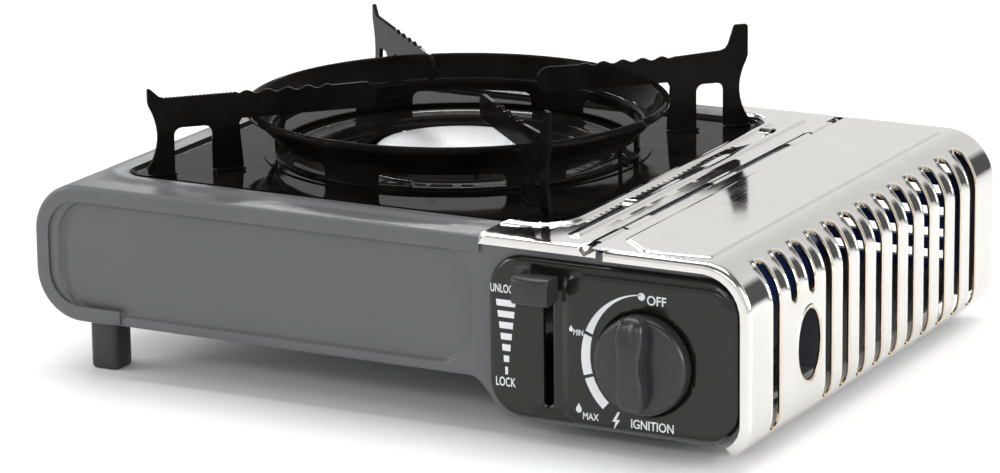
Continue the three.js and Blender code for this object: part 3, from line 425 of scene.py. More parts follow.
class Finish:
    # a material with one Principled shader; fixed values go straight on its sockets
    def __init__(self, name, color, roughness, metallic=0.0, **fixed):
        self.material = bpy.data.materials.new(name)
        self.material.use_nodes = True
        self.tree = self.material.node_tree
        self.shader = self.tree.nodes["Principled BSDF"]
        self.give(Base_Color=color, Roughness=roughness, Metallic=metallic, **fixed)

    def feed(self, socket, value):
        # a signal is linked; a number or vector is set, and a colour is given its alpha
        if isinstance(value, Signal):
            self.tree.links.new(value.socket, socket)
        else:
            isColor = isinstance(value, tuple) and len(value) == 3 and socket.type == "RGBA"
            socket.default_value = (*value, 1) if isColor else value

    def node(self, kind, settings=None, inputs=None, output=0):
        # any node: its settings first, then the values or links of its sockets
        node = self.tree.nodes.new(kind)
        for key, value in (settings or {}).items():
            setattr(node, key, value)
        for key, value in (inputs or {}).items():
            self.feed(node.inputs[key], value)
        return Signal(self, node.outputs[output])

    def math(self, operation, *values):
        # one operation on signals or numbers
        return self.node("ShaderNodeMath", {"operation": operation}, dict(enumerate(values)))

    def place(self, scale=(1, 1, 1)):
        # the piece's own coordinates in metres, stretched
        at = self.node("ShaderNodeTexCoord", output="Object")
        return self.node("ShaderNodeMapping", None, {"Vector": at, "Scale": scale})

    def noise(self, scale, detail=2.0, rough=0.5, at=None):
        # smooth noise with scale lumps to a metre, its detail in halvings
        return self.node("ShaderNodeTexNoise", None, {"Vector": at or self.place(), "Scale": scale,
                                                      "Detail": detail, "Roughness": rough})

    def cells(self, scale, output=0):
        # distance from the nearest of scattered points, or a colour for each point's cell
        return self.node("ShaderNodeTexVoronoi", None, {"Vector": self.place(), "Scale": scale}, output)

    def band(self, value, low, high, out0=0.0, out1=1.0):
        # low to high becomes out0 to out1, held beyond both ends
        return self.node("ShaderNodeMapRange", {"clamp": True}, {"Value": value, "From Min": low,
                         "From Max": high, "To Min": out0, "To Max": out1})

    def mix(self, factor, a, b):
        # colour a where the factor is 0 and b where it is 1
        return self.node("ShaderNodeMix", {"data_type": "RGBA"}, {0: factor, 6: a, 7: b}, output=2)

    def bump(self, height, distance, over=None):
        # height in 0 to 1 stands for distance in millimetres, on top of the bump given as over
        inputs = {"Height": height, "Distance": distance / 1000, "Strength": 1}
        if over:
            inputs["Normal"] = over
        return self.node("ShaderNodeBump", None, inputs)

    def give(self, **sockets):
        # values or signals for the shader's sockets, whose spaces are written as underscores
        for key, value in sockets.items():
            self.feed(self.shader.inputs[key.replace("_", " ")], value)
        return self.material


def scaled(color, factor):
    # every channel times factor
    return tuple(c * factor for c in color)


paint = {"color": (0.092, 0.093, 0.098), "roughness": 0.4, "roughnessSpread": 0.05, "grain": 1100,
         "grainDepth": 0.02, "blotch": 22, "toneSpread": 0.07}


def greyPaintFinish(v):
    # stoved satin paint: fine orange peel, a slow drift of tone, and duller where the peel is low
    f = Finish("greyPaint", v["color"], v["roughness"], IOR=1.5)
    peel, drift = f.noise(v["grain"], 3, 0.6), f.noise(v["blotch"], 3, 0.55)
    dark, pale = (scaled(v["color"], 1 + d) for d in (-v["toneSpread"], v["toneSpread"]))
    spread = v["roughnessSpread"]
    return f.give(Base_Color=f.mix(f.band(drift + (peel - 0.5) * 0.5, 0.3, 0.7), dark, pale),
                  Roughness=f.band(peel, 0.3, 0.7, v["roughness"] + spread, v["roughness"] - spread),
                  Normal=f.bump(peel, v["grainDepth"]))


enamel = {"color": (0.0035, 0.0033, 0.0033), "worn": (0.009, 0.0078, 0.0068), "roughness": 0.05, "duller": 0.09,
          "patch": 30, "wave": 45, "waveDepth": 0.16, "pit": 900, "pitDepth": 0.004, "shine": 0.02}


def blackEnamelFinish(v):
    # glassy black enamel: slow waves from the flow of the glaze, pinpoint pits, thin duller patches
    f = Finish("blackEnamel", v["color"], v["roughness"], IOR=1.5, Specular_IOR_Level=v["shine"])
    wave, pit, patch = f.noise(v["wave"], 1.5), f.noise(v["pit"], 2), f.noise(v["patch"], 3, 0.6)
    dull = v["roughness"] + v["duller"]
    return f.give(Base_Color=f.mix(f.band(patch, 0.35, 0.7), v["color"], v["worn"]),
                  Roughness=f.band(patch + (pit - 0.5) * 0.3, 0.4, 0.75, v["roughness"], dull),
                  Normal=f.bump(pit, v["pitDepth"], over=f.bump(wave, v["waveDepth"])))


steel = {"color": (0.71, 0.70, 0.67), "straw": (0.62, 0.44, 0.22), "strawLevel": 0.75, "roughness": 0.05,
         "duller": 0.11, "wave": 26, "waveDepth": 0.08, "streak": 900, "streakDepth": 0.0012,
         "stretch": (1, 0.04, 1), "smear": 60, "smearTone": 0.95}


def mirrorSteelFinish(name, v, tint=False):
    # bright rolled steel: a slow oil-can wave, fine streaks along the rolling, straw tint by cut edges
    f = Finish(name, v["color"], v["roughness"], 1.0)
    streaks = f.noise(v["streak"], 3, 0.6, f.place(v["stretch"]))
    wave, smear = f.noise(v["wave"], 1.0), f.noise(v["smear"], 4, 0.6)
    tone = f.mix(f.band(smear, 0.3, 0.7), v["color"], scaled(v["color"], v["smearTone"]))
    if tint:
        mark = f.node("ShaderNodeAttribute", {"attribute_name": "mark"}, output="Fac")
        tone = f.mix(f.band(mark, 0, 1, 0, v["strawLevel"]), tone, v["straw"])
    dull = v["roughness"] + v["duller"]
    return f.give(Base_Color=tone,
                  Roughness=f.band(streaks + (smear - 0.5) * 0.6, 0.3, 0.8, v["roughness"], dull),
                  Normal=f.bump(streaks, v["streakDepth"], over=f.bump(wave, v["waveDepth"])))


panelGloss = {"color": (0.0085, 0.0082, 0.0074), "roughness": 0.16, "grain": 2600, "depth": 0.006, "shine": 0.4}
knobSatin = {"color": (0.022, 0.022, 0.0235), "roughness": 0.24, "grain": 3200, "depth": 0.004, "shine": 0.4}


def mouldedFinish(name, v):
    # moulded plastic: very fine grain, a slow drift of gloss from handling
    f = Finish(name, v["color"], v["roughness"], IOR=1.49, Specular_IOR_Level=v["shine"])
    grain, hand = f.noise(v["grain"], 2), f.noise(45, 3, 0.6)
    glossy, dull = v["roughness"] - 0.04, v["roughness"] + 0.07
    return f.give(Base_Color=f.mix(f.band(hand, 0.3, 0.7), v["color"], scaled(v["color"], 1.25)),
                  Roughness=f.band(hand + (grain - 0.5) * 0.4, 0.3, 0.7, glossy, dull),
                  Normal=f.bump(grain, v["depth"]))


cast = {"color": (0.52, 0.53, 0.54), "roughness": 0.36, "speck": 1300, "pitDepth": 0.035}


def castFinish(name, v):
    # bead-blasted casting: bright and dull specks a millimetre apart, fine pits
    f = Finish(name, v["color"], v["roughness"], 0.9)
    speck, grain = f.cells(v["speck"]), f.noise(v["speck"], 4, 0.7)
    return f.give(Base_Color=f.mix(f.band(grain, 0.35, 0.65), scaled(v["color"], 0.72), v["color"]),
                  Roughness=f.band(speck, 0.1, 0.7, v["roughness"] - 0.08, v["roughness"] + 0.14),
                  Normal=f.bump(grain + speck * 0.5, v["pitDepth"]))


zinc = {"color": (0.42, 0.43, 0.45), "dark": (0.34, 0.35, 0.37), "pale": (0.50, 0.51, 0.52), "crystal": 260,
        "scuff": 420, "scuffDepth": 0.006}


def zincFinish(v):
    # passivated zinc: spangled crystals of slightly different grey, scuffed
    f = Finish("zincPlate", v["color"], 0.35, 1.0)
    scuff = f.noise(v["scuff"], 4, 0.7, f.place((1, 0.2, 1)))
    tone = f.node("ShaderNodeSeparateColor", None, {"Color": f.cells(v["crystal"], "Color")})
    return f.give(Base_Color=f.mix(tone, v["dark"], v["pale"]),
                  Roughness=f.band(scuff + tone * 0.3, 0.3, 1.0, 0.26, 0.5),
                  Normal=f.bump(scuff, v["scuffDepth"]))


blued = {"color": (0.012, 0.045, 0.20), "navy": (0.010, 0.045, 0.22), "violet": (0.02, 0.045, 0.14),
         "streak": 700, "streakDepth": 0.004, "drift": 14}


def blueShieldFinish(v):
    # heat-blued steel: navy drifting to violet grey, with rolling streaks
    f = Finish("bluedSteel", v["color"], 0.34, 0.4)
    streaks, drift = f.noise(v["streak"], 3, 0.6, f.place((1, 0.05, 1))), f.noise(v["drift"], 2)
    return f.give(Base_Color=f.mix(f.band(drift, 0.35, 0.7), v["navy"], v["violet"]),
                  Roughness=f.band(streaks, 0.3, 0.7, 0.24, 0.38), Normal=f.bump(streaks, v["streakDepth"]))


turned = {"color": (0.62, 0.44, 0.17), "tarnished": (0.36, 0.24, 0.10), "tool": 1500, "toolDepth": 0.004,
          "tarnish": 120}


def brassFinish(v):
    # turned brass: yellow metal, browner in patches, fine tool marks
    f = Finish("brass", v["color"], 0.28, 1.0)
    tool, tarnish = f.noise(v["tool"], 2, 0.5, f.place((1, 0.1, 1))), f.noise(v["tarnish"], 3, 0.6)
    return f.give(Base_Color=f.mix(f.band(tarnish, 0.4, 0.75), v["color"], v["tarnished"]),
                  Roughness=f.band(tarnish, 0.3, 0.7, 0.22, 0.4), Normal=f.bump(tool, v["toolDepth"]))


def plainGrain(name, color, roughness, grain, depth, other):
    # matt material: two tones in fine grain, rougher where pale
    f = Finish(name, color, roughness, IOR=1.5)
    fine, drift = f.noise(grain, 3, 0.6), f.noise(40, 3)
    return f.give(Base_Color=f.mix(f.band(fine * 0.5 + drift * 0.5, 0.35, 0.65), color, other),
                  Roughness=f.band(fine, 0.3, 0.7, roughness - 0.06, roughness + 0.08),
                  Normal=f.bump(fine, depth))


greyPaint = greyPaintFinish(paint)
blackEnamel = blackEnamelFinish(enamel)
lidSteel = mirrorSteelFinish("lidSteel", steel, tint=True)
plateSteel = mirrorSteelFinish("plateSteel", steel)
panelPlastic = mouldedFinish("panelPlastic", panelGloss)
knobPlastic = mouldedFinish("knobPlastic", knobSatin)
castAluminium = castFinish("castAluminium", cast)
zincPlate = zincFinish(zinc)
bluedSteel = blueShieldFinish(blued)
brass = brassFinish(turned)
# two tones, roughness, grain to a metre and its depth in millimetres
matt = {"ceramic": ((0.78, 0.75, 0.68), 0.3, 900, 0.004, (0.70, 0.66, 0.58)),
        "leadRubber": ((0.012, 0.012, 0.013), 0.5, 1500, 0.01, (0.02, 0.02, 0.021)),
        "footRubber": ((0.016, 0.016, 0.017), 0.42, 1400, 0.012, (0.026, 0.026, 0.028)),
        "whitePrint": ((0.74, 0.76, 0.77), 0.45, 1800, 0.002, (0.66, 0.68, 0.70))}
ceramic, leadRubber, footRubber, whitePrint = (plainGrain(name, *values) for name, values in matt.items())
print("finishes mixed")


# Top casing

casing = {"left": -171.5, "front": -127.0, "back": 127.0, "deck": 84.9, "right": 95.7, "floor": 24.0,
          "hem": 42.5, "radius": 22.0, "flange": 7.0, "flangeEnd": 47.5, "bend": 2.2, "sheet": 0.9,
          "step": 2.4, "stepAt": 0.25, "stepWidth": 0.6, "ledge": 5.0, "pressFrom": 4.0,
          "beadIn": 3.2, "beadOut": 9.5, "beadRise": 0.9, "beadEdge": 0.8}
tray = {"left": -144.0, "right": 71.0, "front": -101.0, "back": 108.0, "corner": 13.0}


def grownTray(d):
    # the tray opening moved outwards by d all round
    return roundRect(tray["left"] - d, tray["right"] + d, tray["front"] - d, tray["back"] + d,
                     tray["corner"] + d, 12)


trayLoop = grownTray(0)


def makeCasing(c):
    # path from the hem under the left side, up and over the deck; the section folds both long edges;
    # the deck steps down at the tray's opening, and a low bead runs round it
    turnX = c["left"] + c["radius"]
    path = np.vstack(([[c["left"] + c["hem"], c["floor"]]],
                      arcPoints(turnX, c["floor"] + c["radius"], c["radius"], 270, 180, 12),
                      arcPoints(turnX, c["deck"] - c["radius"], c["radius"], 180, 90, 14),
                      [[c["right"], c["deck"]]]))
    section = foldedSection(c["front"], c["back"], c["bend"], c["flange"])
    length, width = pathLength(path), pathLength(section)
    deckStart = length - (c["right"] - c["left"] - c["radius"])
    toU = lambda x: deckStart + x - turnX
    foldEdge, toW = foldScale(c["front"], c["bend"], c["flange"])
    cutU = toU(c["flangeEnd"])
    outer = resample(np.array([[0, 0], [cutU, 0], [cutU, foldEdge], [length, foldEdge],
                               [length, width - foldEdge], [cutU, width - foldEdge], [cutU, width],
                               [0, width]]), 6)
    shifted = lambda d: resample(np.column_stack((toU(grownTray(d)[:, 0]), toW(grownTray(d)[:, 1]))), 5)
    e = c["beadEdge"]
    lines = [shifted(d) for d in (c["stepAt"] - c["stepWidth"], c["stepAt"], 1.2, c["beadIn"] - e,
                                  c["beadIn"] + e, c["beadOut"] - e, c["beadOut"] + e)]
    flat, triangles = cutSheet(outer, [shifted(-c["ledge"])], lines, stops(path, 9, 0.8),
                               stops(section, 9, 0.4))
    plan = np.column_stack((flat[:, 0] - deckStart + turnX, flat[:, 1] - foldEdge + c["front"] + c["bend"]))
    d = -depthIn(plan, trayLoop)
    press = -c["step"] * ease((c["stepAt"] - d) / c["stepWidth"])
    press += c["beadRise"] * (ease((d - c["beadIn"] + e) / (2 * e)) - ease((d - c["beadOut"] + e) / (2 * e)))
    press = np.where(flat[:, 0] < deckStart - c["pressFrom"], 0, press)
    points, normal = foldedSurface(path, section, flat, press)
    net = thicken(points, triangles, c["sheet"], normal)
    makePiece("topCasingShell", net, "stove_body", greyPaint, ["top_casing"], sharp=50)


# Body pan: front and back walls with a pressed field, and the stepped floor

pan = {"wallFront": -125.8, "wallBack": 125.8, "sheet": 0.9, "top": 83.7, "floor": 25.2, "lowFloor": 9.5,
       "ogeeStart": 42.0, "ogeeEnd": 62.0, "left": -170.3, "right": 169.2, "lip": 153.0, "radius": 20.8,
       "topRadius": 20.0, "hemRadius": 16.0, "fieldLeft": -160.5, "fieldRight": 44.0, "fieldBottom": 28.0,
       "fieldTop": 79.4, "fieldCorner": 18.0, "fieldDepth": 2.4, "fieldSlope": 1.6,
       "leverSlot": (76.5, 83.1, 15.5, 71.0), "slotCorner": 3.2, "spindle": (125.0, 41.0), "spindleHole": 5.5}
vents = {"left": 90.9, "right": 154.5, "bottom": 25.8, "height": 4.4, "pitch": 10.0, "rows": 5, "corner": 1.6}


def ventLoops(v):
    # the rows of vents at the back of the cartridge bay, as round-cornered strips
    return [resample(roundRect(v["left"], v["right"], z, z + v["height"], v["corner"], 4), 4)
            for z in v["bottom"] + v["pitch"] * np.arange(v["rows"])]


def floorLine(p):
    # down the left corner, along the high floor, a half cosine down, and along the low floor
    t = np.linspace(0, 1, 17)
    ogee = np.column_stack((p["ogeeStart"] + (p["ogeeEnd"] - p["ogeeStart"]) * t,
                            p["floor"] - (p["floor"] - p["lowFloor"]) * (1 - np.cos(math.pi * t)) / 2))
    turnX = p["left"] + p["radius"]
    return np.vstack((arcPoints(turnX, p["top"] - p["radius"], p["radius"], 90, 180, 10),
                      arcPoints(turnX, p["floor"] + p["radius"], p["radius"], 180, 270, 10), ogee,
                      [[p["lip"], p["lowFloor"]]]))


def makePan(p):
    # two flat walls with a field pressed in by an eased slope, and a floor swept between them
    line = floorLine(p)
    hem, top = p["hemRadius"], p["topRadius"]
    outline = resample(np.vstack((line[:-1],
                                  arcPoints(p["right"] - hem, p["lowFloor"] + hem, hem, 270, 360),
                                  arcPoints(p["right"] - top, p["top"] - top, top, 0, 90))), 6)
    field = lambda d: roundRect(p["fieldLeft"] - d, p["fieldRight"] + d, p["fieldBottom"] - d,
                                p["fieldTop"] + d, p["fieldCorner"] + d, 12)
    slope = p["fieldSlope"]
    lines = [resample(field(d), 5) for d in (0.3, 0, -slope / 3, -slope * 2 / 3, -slope, -slope - 0.3)]
    gx, gz = np.arange(-168, 168, 9), np.arange(12, 84, 9)
    slot = resample(roundRect(*p["leverSlot"], p["slotCorner"], 4), 4)
    spindle = ellipse(*p["spindle"], p["spindleHole"], p["spindleHole"], 24)
    nets = []
    for face, side, holes in ((p["wallFront"], 1, [slot, spindle]), (p["wallBack"], -1, ventLoops(vents))):
        flat, triangles = cutSheet(outline, holes, lines, gx, gz)
        press = p["fieldDepth"] * ease(depthIn(flat, field(0)) / slope)
        points = np.column_stack((flat[:, 0], face + side * press, flat[:, 1]))
        nets.append(thicken(points, triangles if side > 0 else triangles[:, ::-1], p["sheet"]))
    across = np.linspace(p["wallFront"] + 0.5, p["wallBack"] - 0.5, 24)
    points, quads = gridNet(gridPoints(line[:, :1], across, line[:, 1:]))
    nets.append(thicken(points, splitQuads(quads), p["sheet"]))
    makePiece("bodyPanShell", joinNets(*nets), "stove_body", greyPaint, ["body_pan"], sharp=50)


# Bright deck plate beside the tray

plate = {"left": 47.7, "right": 95.7, "skirtRight": 101.8, "front": -128.1, "back": 128.1, "top": 86.0,
         "bend": 1.0, "skirt": 4.0, "sheet": 0.8, "gapToTray": 1.5, "hingeCut": 1.6,
         "roll": (2.2, 5.2), "rollEdge": 0.9, "rollWidth": 1.6, "rollRise": 1.1, "rollFade": 3,
         "rib": (12.4, 16.0), "ribEdge": 0.7, "ribRise": 0.8, "ribFront": -114.0, "ribBack": 112.0,
         "hooks": [(82.0, -55.0), (79.0, 87.0)], "hookWidth": 2.6, "hookLength": 9, "hookRise": 1.5,
         "hookSheet": 0.6}
knuckles = {"x": 98.3, "z": 84.525, "inner": 1.25, "outer": 2.0, "tail": 3.2, "tailLow": 0.05, "tailTop": 1.475,
            "deck": [(-118, -96), (-11, 11), (91, 113)], "lid": [(-94, -72), (67, 89)]}


def knuckleNet(k, y0, y1, side):
    # a strip curled three quarters round the pin, then straight out level with the sheet's top
    a = np.radians(np.linspace(-150, 90, 26))
    outer, inner = (np.column_stack((k["x"] - side * r * np.cos(a), k["z"] + r * np.sin(a)))
                    for r in (k["outer"], k["inner"]))
    tailX = k["x"] + side * k["tail"]
    tail = [[tailX, k["z"] + k["tailTop"]], [tailX, k["z"] + k["inner"] + k["tailLow"]]]
    loop = np.vstack((outer, tail, inner[::-1]))
    return barNet(gridPoints(loop[:, :1], np.array([y0, y1]), loop[:, 1:]))


def makePlate(p, k):
    # x is kept along the sheet; the section folds a short skirt down at front and back; a roll follows
    # the tray's edge and a straight rib stands beside it, each raised by eased flanks
    section = foldedSection(p["front"], p["back"], p["bend"], p["skirt"], 4)
    width = pathLength(section)
    foldEdge, toW = foldScale(p["front"], p["bend"], p["skirt"])
    near = grownTray(p["gapToTray"])
    inTray = near[near[:, 0] > p["left"]]
    inTray = inTray[np.argsort(np.arctan2(inTray[:, 1], inTray[:, 0] - p["left"]))]
    edge = np.vstack(([[p["left"], near[:, 1].min()]], inTray, [[p["left"], near[:, 1].max()]]))[::-1]
    r, cut = p["skirtRight"], foldEdge + p["hingeCut"]
    outer = np.vstack(([[p["left"], 0], [r, 0], [r, cut], [p["right"], cut], [p["right"], width - cut],
                        [r, width - cut], [r, width], [p["left"], width]],
                       np.column_stack((edge[:, 0], toW(edge[:, 1])))))
    outer = resample(dropRepeats(outer, 0.05), 6)
    (ribLeft, ribRight), (a, b) = p["rib"], p["roll"]
    rib = lambda d: roundRect(tray["right"] + ribLeft - d, tray["right"] + ribRight + d, p["ribFront"] - d,
                              p["ribBack"] + d, (ribRight - ribLeft) / 2 + d - 0.05)
    lines = [resample(np.column_stack((rib(d)[:, 0], toW(rib(d)[:, 1]))), 1.8) for d in (-0.7, -0.2, 0.3, 0.7)]
    strands = []
    for d in (a - 0.9, a - 0.4, a + 0.1, a + 0.7, b - 0.7, b - 0.1, b + 0.4, b + 0.9):
        loop = resample(grownTray(d), 2)
        part = loop[loop[:, 0] > p["left"] + 0.8]
        part = part[np.argsort(np.arctan2(part[:, 1] - 3, part[:, 0] - p["left"] + 60))]
        strands.append(np.column_stack((part[:, 0], toW(part[:, 1]))))
    flat, triangles = cutSheet(outer, [], lines, np.arange(p["left"] + 2, p["right"], 2.2),
                               stops(section, 5, 0.2), room=0.3, strands=strands)
    y = np.interp(flat[:, 1], [0, foldEdge, width - foldEdge, width],
                  [p["front"], p["front"] + p["bend"], p["back"] - p["bend"], p["back"]])
    plan = np.column_stack((flat[:, 0], y))
    d, e, w, fade = -depthIn(plan, trayLoop), p["rollEdge"], p["rollWidth"], p["rollFade"]
    ends = ease((p["back"] - 5 - y) / fade) * ease((y - p["front"] - 3) / fade)
    press = p["rollRise"] * (ease((d - a + e) / w) * ease((b + e - d) / w)) * ends
    ribFlank = ease((depthIn(plan, rib(0)) + p["ribEdge"]) / (2 * p["ribEdge"]))
    press = np.maximum(press, p["ribRise"] * ribFlank)
    path = np.array([[0, p["top"]], [200, p["top"]]])
    points, normal = foldedSurface(path, section, flat, press)
    nets = [thicken(points, triangles, p["sheet"], normal)]
    nets += [knuckleNet(k, y0, y1, -1) for y0, y1 in k["deck"]]
    for x, yc in p["hooks"]:
        # a little tongue pressed up out of the plate: a half sine along its length
        u, v = np.meshgrid(np.linspace(0, 1, 13), np.linspace(-1, 1, 5), indexing="ij")
        top = gridPoints(x + p["hookWidth"] * v, yc + p["hookLength"] * (u - 0.5),
                         p["top"] + 0.05 + p["hookRise"] * np.sin(math.pi * u))
        points, quads = gridNet(top)
        nets.append(thicken(points, splitQuads(quads), p["hookSheet"], np.tile([0, 0, 1.0], (len(points), 1))))
    makePiece("deckPlateSheet", joinNets(*nets), "stove_body", plateSteel, ["deck_plate"],
              sharp=40)


def makePin(k):
    # a straight wire with rounded ends
    y0, y1 = casing["front"] + 8, casing["back"] - 12.5
    profile = [[0, y0], [0.6, y0], [0.9, y0 + 0.4], [0.9, y1 - 0.4], [0.6, y1], [0, y1]]
    net = turnedNet(profile, (k["x"], k["z"]), "y", 20)
    makePiece("hingePin", net, "stove_body", zincPlate, ["hinge_pin"])


# Lid over the cartridge

lid = {"left": 99.9, "top": 86.0, "right": 171.5, "front": -129.4, "back": 129.4, "radius": 22.0,
       "leftCut": 5.7, "hemTop": 20.0, "hemRadius": 16.0, "hemAngle": 62.0, "flange": 4.6, "bend": 2.6,
       "sheet": 0.8, "slots": 13, "slotFirst": -104.6, "slotPitch": 17.3, "slotWidth": 6.0, "slotTop": 81.6,
       "slotBottom": 12.0, "shortBottom": 62.0, "rimRise": 0.42, "rimAt": 1.15, "rimWidth": 2.1,
       "holeY": -72.0, "holeZ": 40.0, "holeWidth": 21.6, "holeHeight": 30.5, "tintWidth": 1.5,
       "panel": [(107.0, -110.0), (122.0, -124.2), (150.2, -121.5), (150.2, 117.0), (120.0, 117.0),
                 (107.0, 106.0)],
       "panelRise": 0.7, "panelSlope": 1.6}


def lidPath(v):
    # level, a quarter circle, straight down, then a larger circle tucked under
    cx, cz = v["right"] - v["radius"], v["top"] - v["radius"]
    return np.vstack(([[v["left"], v["top"]]], arcPoints(cx, cz, v["radius"], 90, 0, 24),
                      arcPoints(v["right"] - v["hemRadius"], v["hemTop"], v["hemRadius"], 0, -v["hemAngle"],
                                12)))


def makeLid(v, k):
    # a sheet folded down at front and back, with a turned rim round each slot and a raised top panel
    path = lidPath(v)
    section = foldedSection(v["front"], v["back"], v["bend"], v["flange"], 8)
    length, width = pathLength(path), pathLength(section)
    foldEdge, toW = foldScale(v["front"], v["bend"], v["flange"])
    cornerZ = v["top"] - v["radius"]
    cornerEnd = v["right"] - v["radius"] - v["left"] + v["radius"] * math.pi / 2

    def toU(z):
        # distance along the path at height z on the corner, the side or the tucked hem
        if z > cornerZ:
            return cornerEnd - v["radius"] * math.asin((z - cornerZ) / v["radius"])
        if z > v["hemTop"]:
            return cornerEnd + cornerZ - z
        tuck = math.asin((v["hemTop"] - z) / v["hemRadius"])
        return cornerEnd + cornerZ - v["hemTop"] + v["hemRadius"] * tuck

    cut = v["leftCut"]
    outer = resample(np.array([[cut, 0], [length, 0], [length, width], [cut, width], [cut, width - foldEdge],
                               [0, width - foldEdge], [0, foldEdge], [cut, foldEdge]]), 5)
    half = v["slotWidth"] / 2
    rimSteps = (0.4, 0.8, v["rimAt"], 1.6, v["rimWidth"])
    holes, rims = [], []
    for i in range(v["slots"]):
        y = v["slotFirst"] + i * v["slotPitch"]
        short = abs(y - v["holeY"]) < v["holeWidth"] / 2 + v["slotWidth"]
        high, low = toU(v["slotTop"]), toU(v["shortBottom"] if short else v["slotBottom"])
        shape = lambda d: resample(roundRect(high - d, low + d, toW(y - half) - d, toW(y + half) + d,
                                             half + d - 0.02, 7), 2.5)
        holes.append(shape(0))
        rims += [shape(d) for d in rimSteps]
    hole = lambda d: ellipse(toU(v["holeZ"]), toW(v["holeY"]), v["holeHeight"] / 2 + d,
                             v["holeWidth"] / 2 + d, 56)
    holes.append(hole(0))
    rims += [hole(d) for d in rimSteps]
    panelLoop = np.array([[x - v["left"], toW(y)] for x, y in v["panel"]])
    s = v["panelSlope"]
    folds = [resample(offsetLoop(panelLoop, d), 2)
             for d in (s / 2 + 0.3, s / 2, s / 4, 0, -s / 4, -s / 2, -s / 2 - 0.3)]
    flat, triangles = cutSheet(outer, holes, rims + folds, stops(path, 3.4, 0.9), stops(section, 2.9, 0.25))
    edge = np.min([distanceTo(flat, h) for h in holes], axis=0)
    fall = ease((v["rimWidth"] - edge) / (v["rimWidth"] - v["rimAt"]))
    press = v["rimRise"] * (ease(edge / v["rimAt"]) * 0.75 + 0.25) * fall
    press += v["panelRise"] * ease((depthIn(flat, panelLoop) + s / 2) / s)
    points, normal = foldedSurface(path, section, flat, press)
    shell = thicken(points, triangles, v["sheet"], normal)
    net = joinNets(shell, *(knuckleNet(k, y0, y1, 1) for y0, y1 in k["lid"]))
    tint = np.zeros(len(net[0]))
    tint[:len(shell[0])] = np.tile(ease(1 - edge / v["tintWidth"]), 2)
    makePiece("cartridgeLidSheet", net, "lid", lidSteel, ["cartridge_lid"], soft=tint,
              sharp=45)


makeCasing(casing)
makePan(pan)
makePlate(plate, knuckles)
makePin(knuckles)
print("casing, pan and plate pressed")
makeLid(lid, knuckles)
print("lid pressed")


# Heat shield seen through the slots

shield = {"x": 88.3, "sheet": 0.9, "front": -122.6, "back": 123.6, "foot": 10.7, "top": 83.7, "flange": 8.0,
          "flangeReach": 119, "holes": [(-84.0, 72.0, 3.2), (-38.0, 66.0, 6.2)],
          "window": (-83.0, -48.0, 51.0, 58.0), "liningRight": 159.5, "liningBottom": 20.8, "liningTop": 78.7}


def makeShield(v):
    # an upright wall drawn on y and z with its holes, two flanges, and the vented lining drawn on x and z
    holes = [ellipse(y, z, r, r, 24) for y, z, r in v["holes"]] + [roundRect(*v["window"], 1, 2)]
    outer = resample(roundRect(v["front"], v["back"], v["foot"], v["top"], 2, 3), 12)
    flat, triangles = cutSheet(outer, holes, [], np.arange(-120, 120, 12), np.arange(14, 80, 12))
    right = v["x"] + v["sheet"]
    points = np.column_stack((np.full(len(flat), right), flat))
    nets = [thicken(points, triangles, v["sheet"], np.tile([1.0, 0, 0], (len(points), 1)))]
    for z, reach in ((v["foot"] + 0.9, v["flange"]), (v["top"], v["flange"] - 2)):
        strip = roundRect(right - reach, right - 0.2, -v["flangeReach"], v["flangeReach"], 1.5, 3)
        nets.append(slabNet(strip, z - 0.9, z, upright))
    outer = resample(roundRect(v["x"], v["liningRight"], v["liningBottom"], v["liningTop"], 3, 4), 8)
    flat, triangles = cutSheet(outer, ventLoops(vents), [], np.arange(94, 156, 12), np.arange(24, 78, 12))
    points = facing(flat[:, 0], flat[:, 1], np.full(len(flat), v["back"] - v["sheet"]))
    nets.append(thicken(points, triangles, v["sheet"]))
    makePiece("heatShieldSheet", joinNets(*nets), "stove_body", bluedSteel, ["heat_shield"])


makeShield(shield)


# Drip tray, wind ring, pan supports

burner = {"x": -35.5, "y": 8.0, "radius": 36.0, "top": 87.5, "thickness": 3.2, "domeRise": 2.0,
          "domeAngle": 1.1, "rim": 1.2}
dish = {"bottom": 82.8, "sheet": 0.9, "rim": 1.7, "rimWidth": 2.2, "wellRadius": 64.0, "wellDepth": 3.5,
        "wellSlope": 3.5, "hole": 44.0, "collar": 2.6, "collarRadius": 47.6, "collarSlope": 3.2,
        "beadRadius": 74.0, "beadRise": 0.5, "beadWidth": 3, "edge": 0.5}


def makeTray(d):
    # flat sheet with a turned-up rim; towards the burner it dips into a well and rises to a collar
    outer = resample(grownTray(-d["edge"]), 5)
    hub = lambda r, n=96: ellipse(burner["x"], burner["y"], r, r, n)
    w, well, collar, bead = d["rimWidth"], d["wellRadius"], d["collarRadius"], d["beadRadius"]
    lines = [resample(grownTray(-d["edge"] - k), 5) for k in (0.35, 0.7, 1.2, w, w + 0.8)]
    lines += [hub(r) for r in (45.0, 46.2, collar, 50.0, well - 3.2, well - 2.4, well - 1.2, well, well + 0.8,
                               bead - 3, bead - 1.5, bead, bead + 1.5, bead + 3)]
    g = np.arange(-150, 120, 7.0)
    flat, triangles = cutSheet(outer, [hub(d["hole"], 80)], lines, g, g)
    r = np.hypot(flat[:, 0] - burner["x"], flat[:, 1] - burner["y"])
    z = d["bottom"] + d["sheet"] + d["rim"] * ease(1 - depthIn(flat, outer) / w)
    z -= d["wellDepth"] * ease((well + 0.3 - r) / d["wellSlope"])
    z += d["collar"] * ease((collar - r) / d["collarSlope"])
    z += d["beadRise"] * ease(1 - abs(r - bead) / d["beadWidth"])
    net = thicken(np.column_stack((flat, z)), triangles, d["sheet"], np.tile([0, 0, 1.0], (len(flat), 1)))
    makePiece("dripTraySheet", net, "pan_stand", blackEnamel, ["drip_tray"], sharp=50)


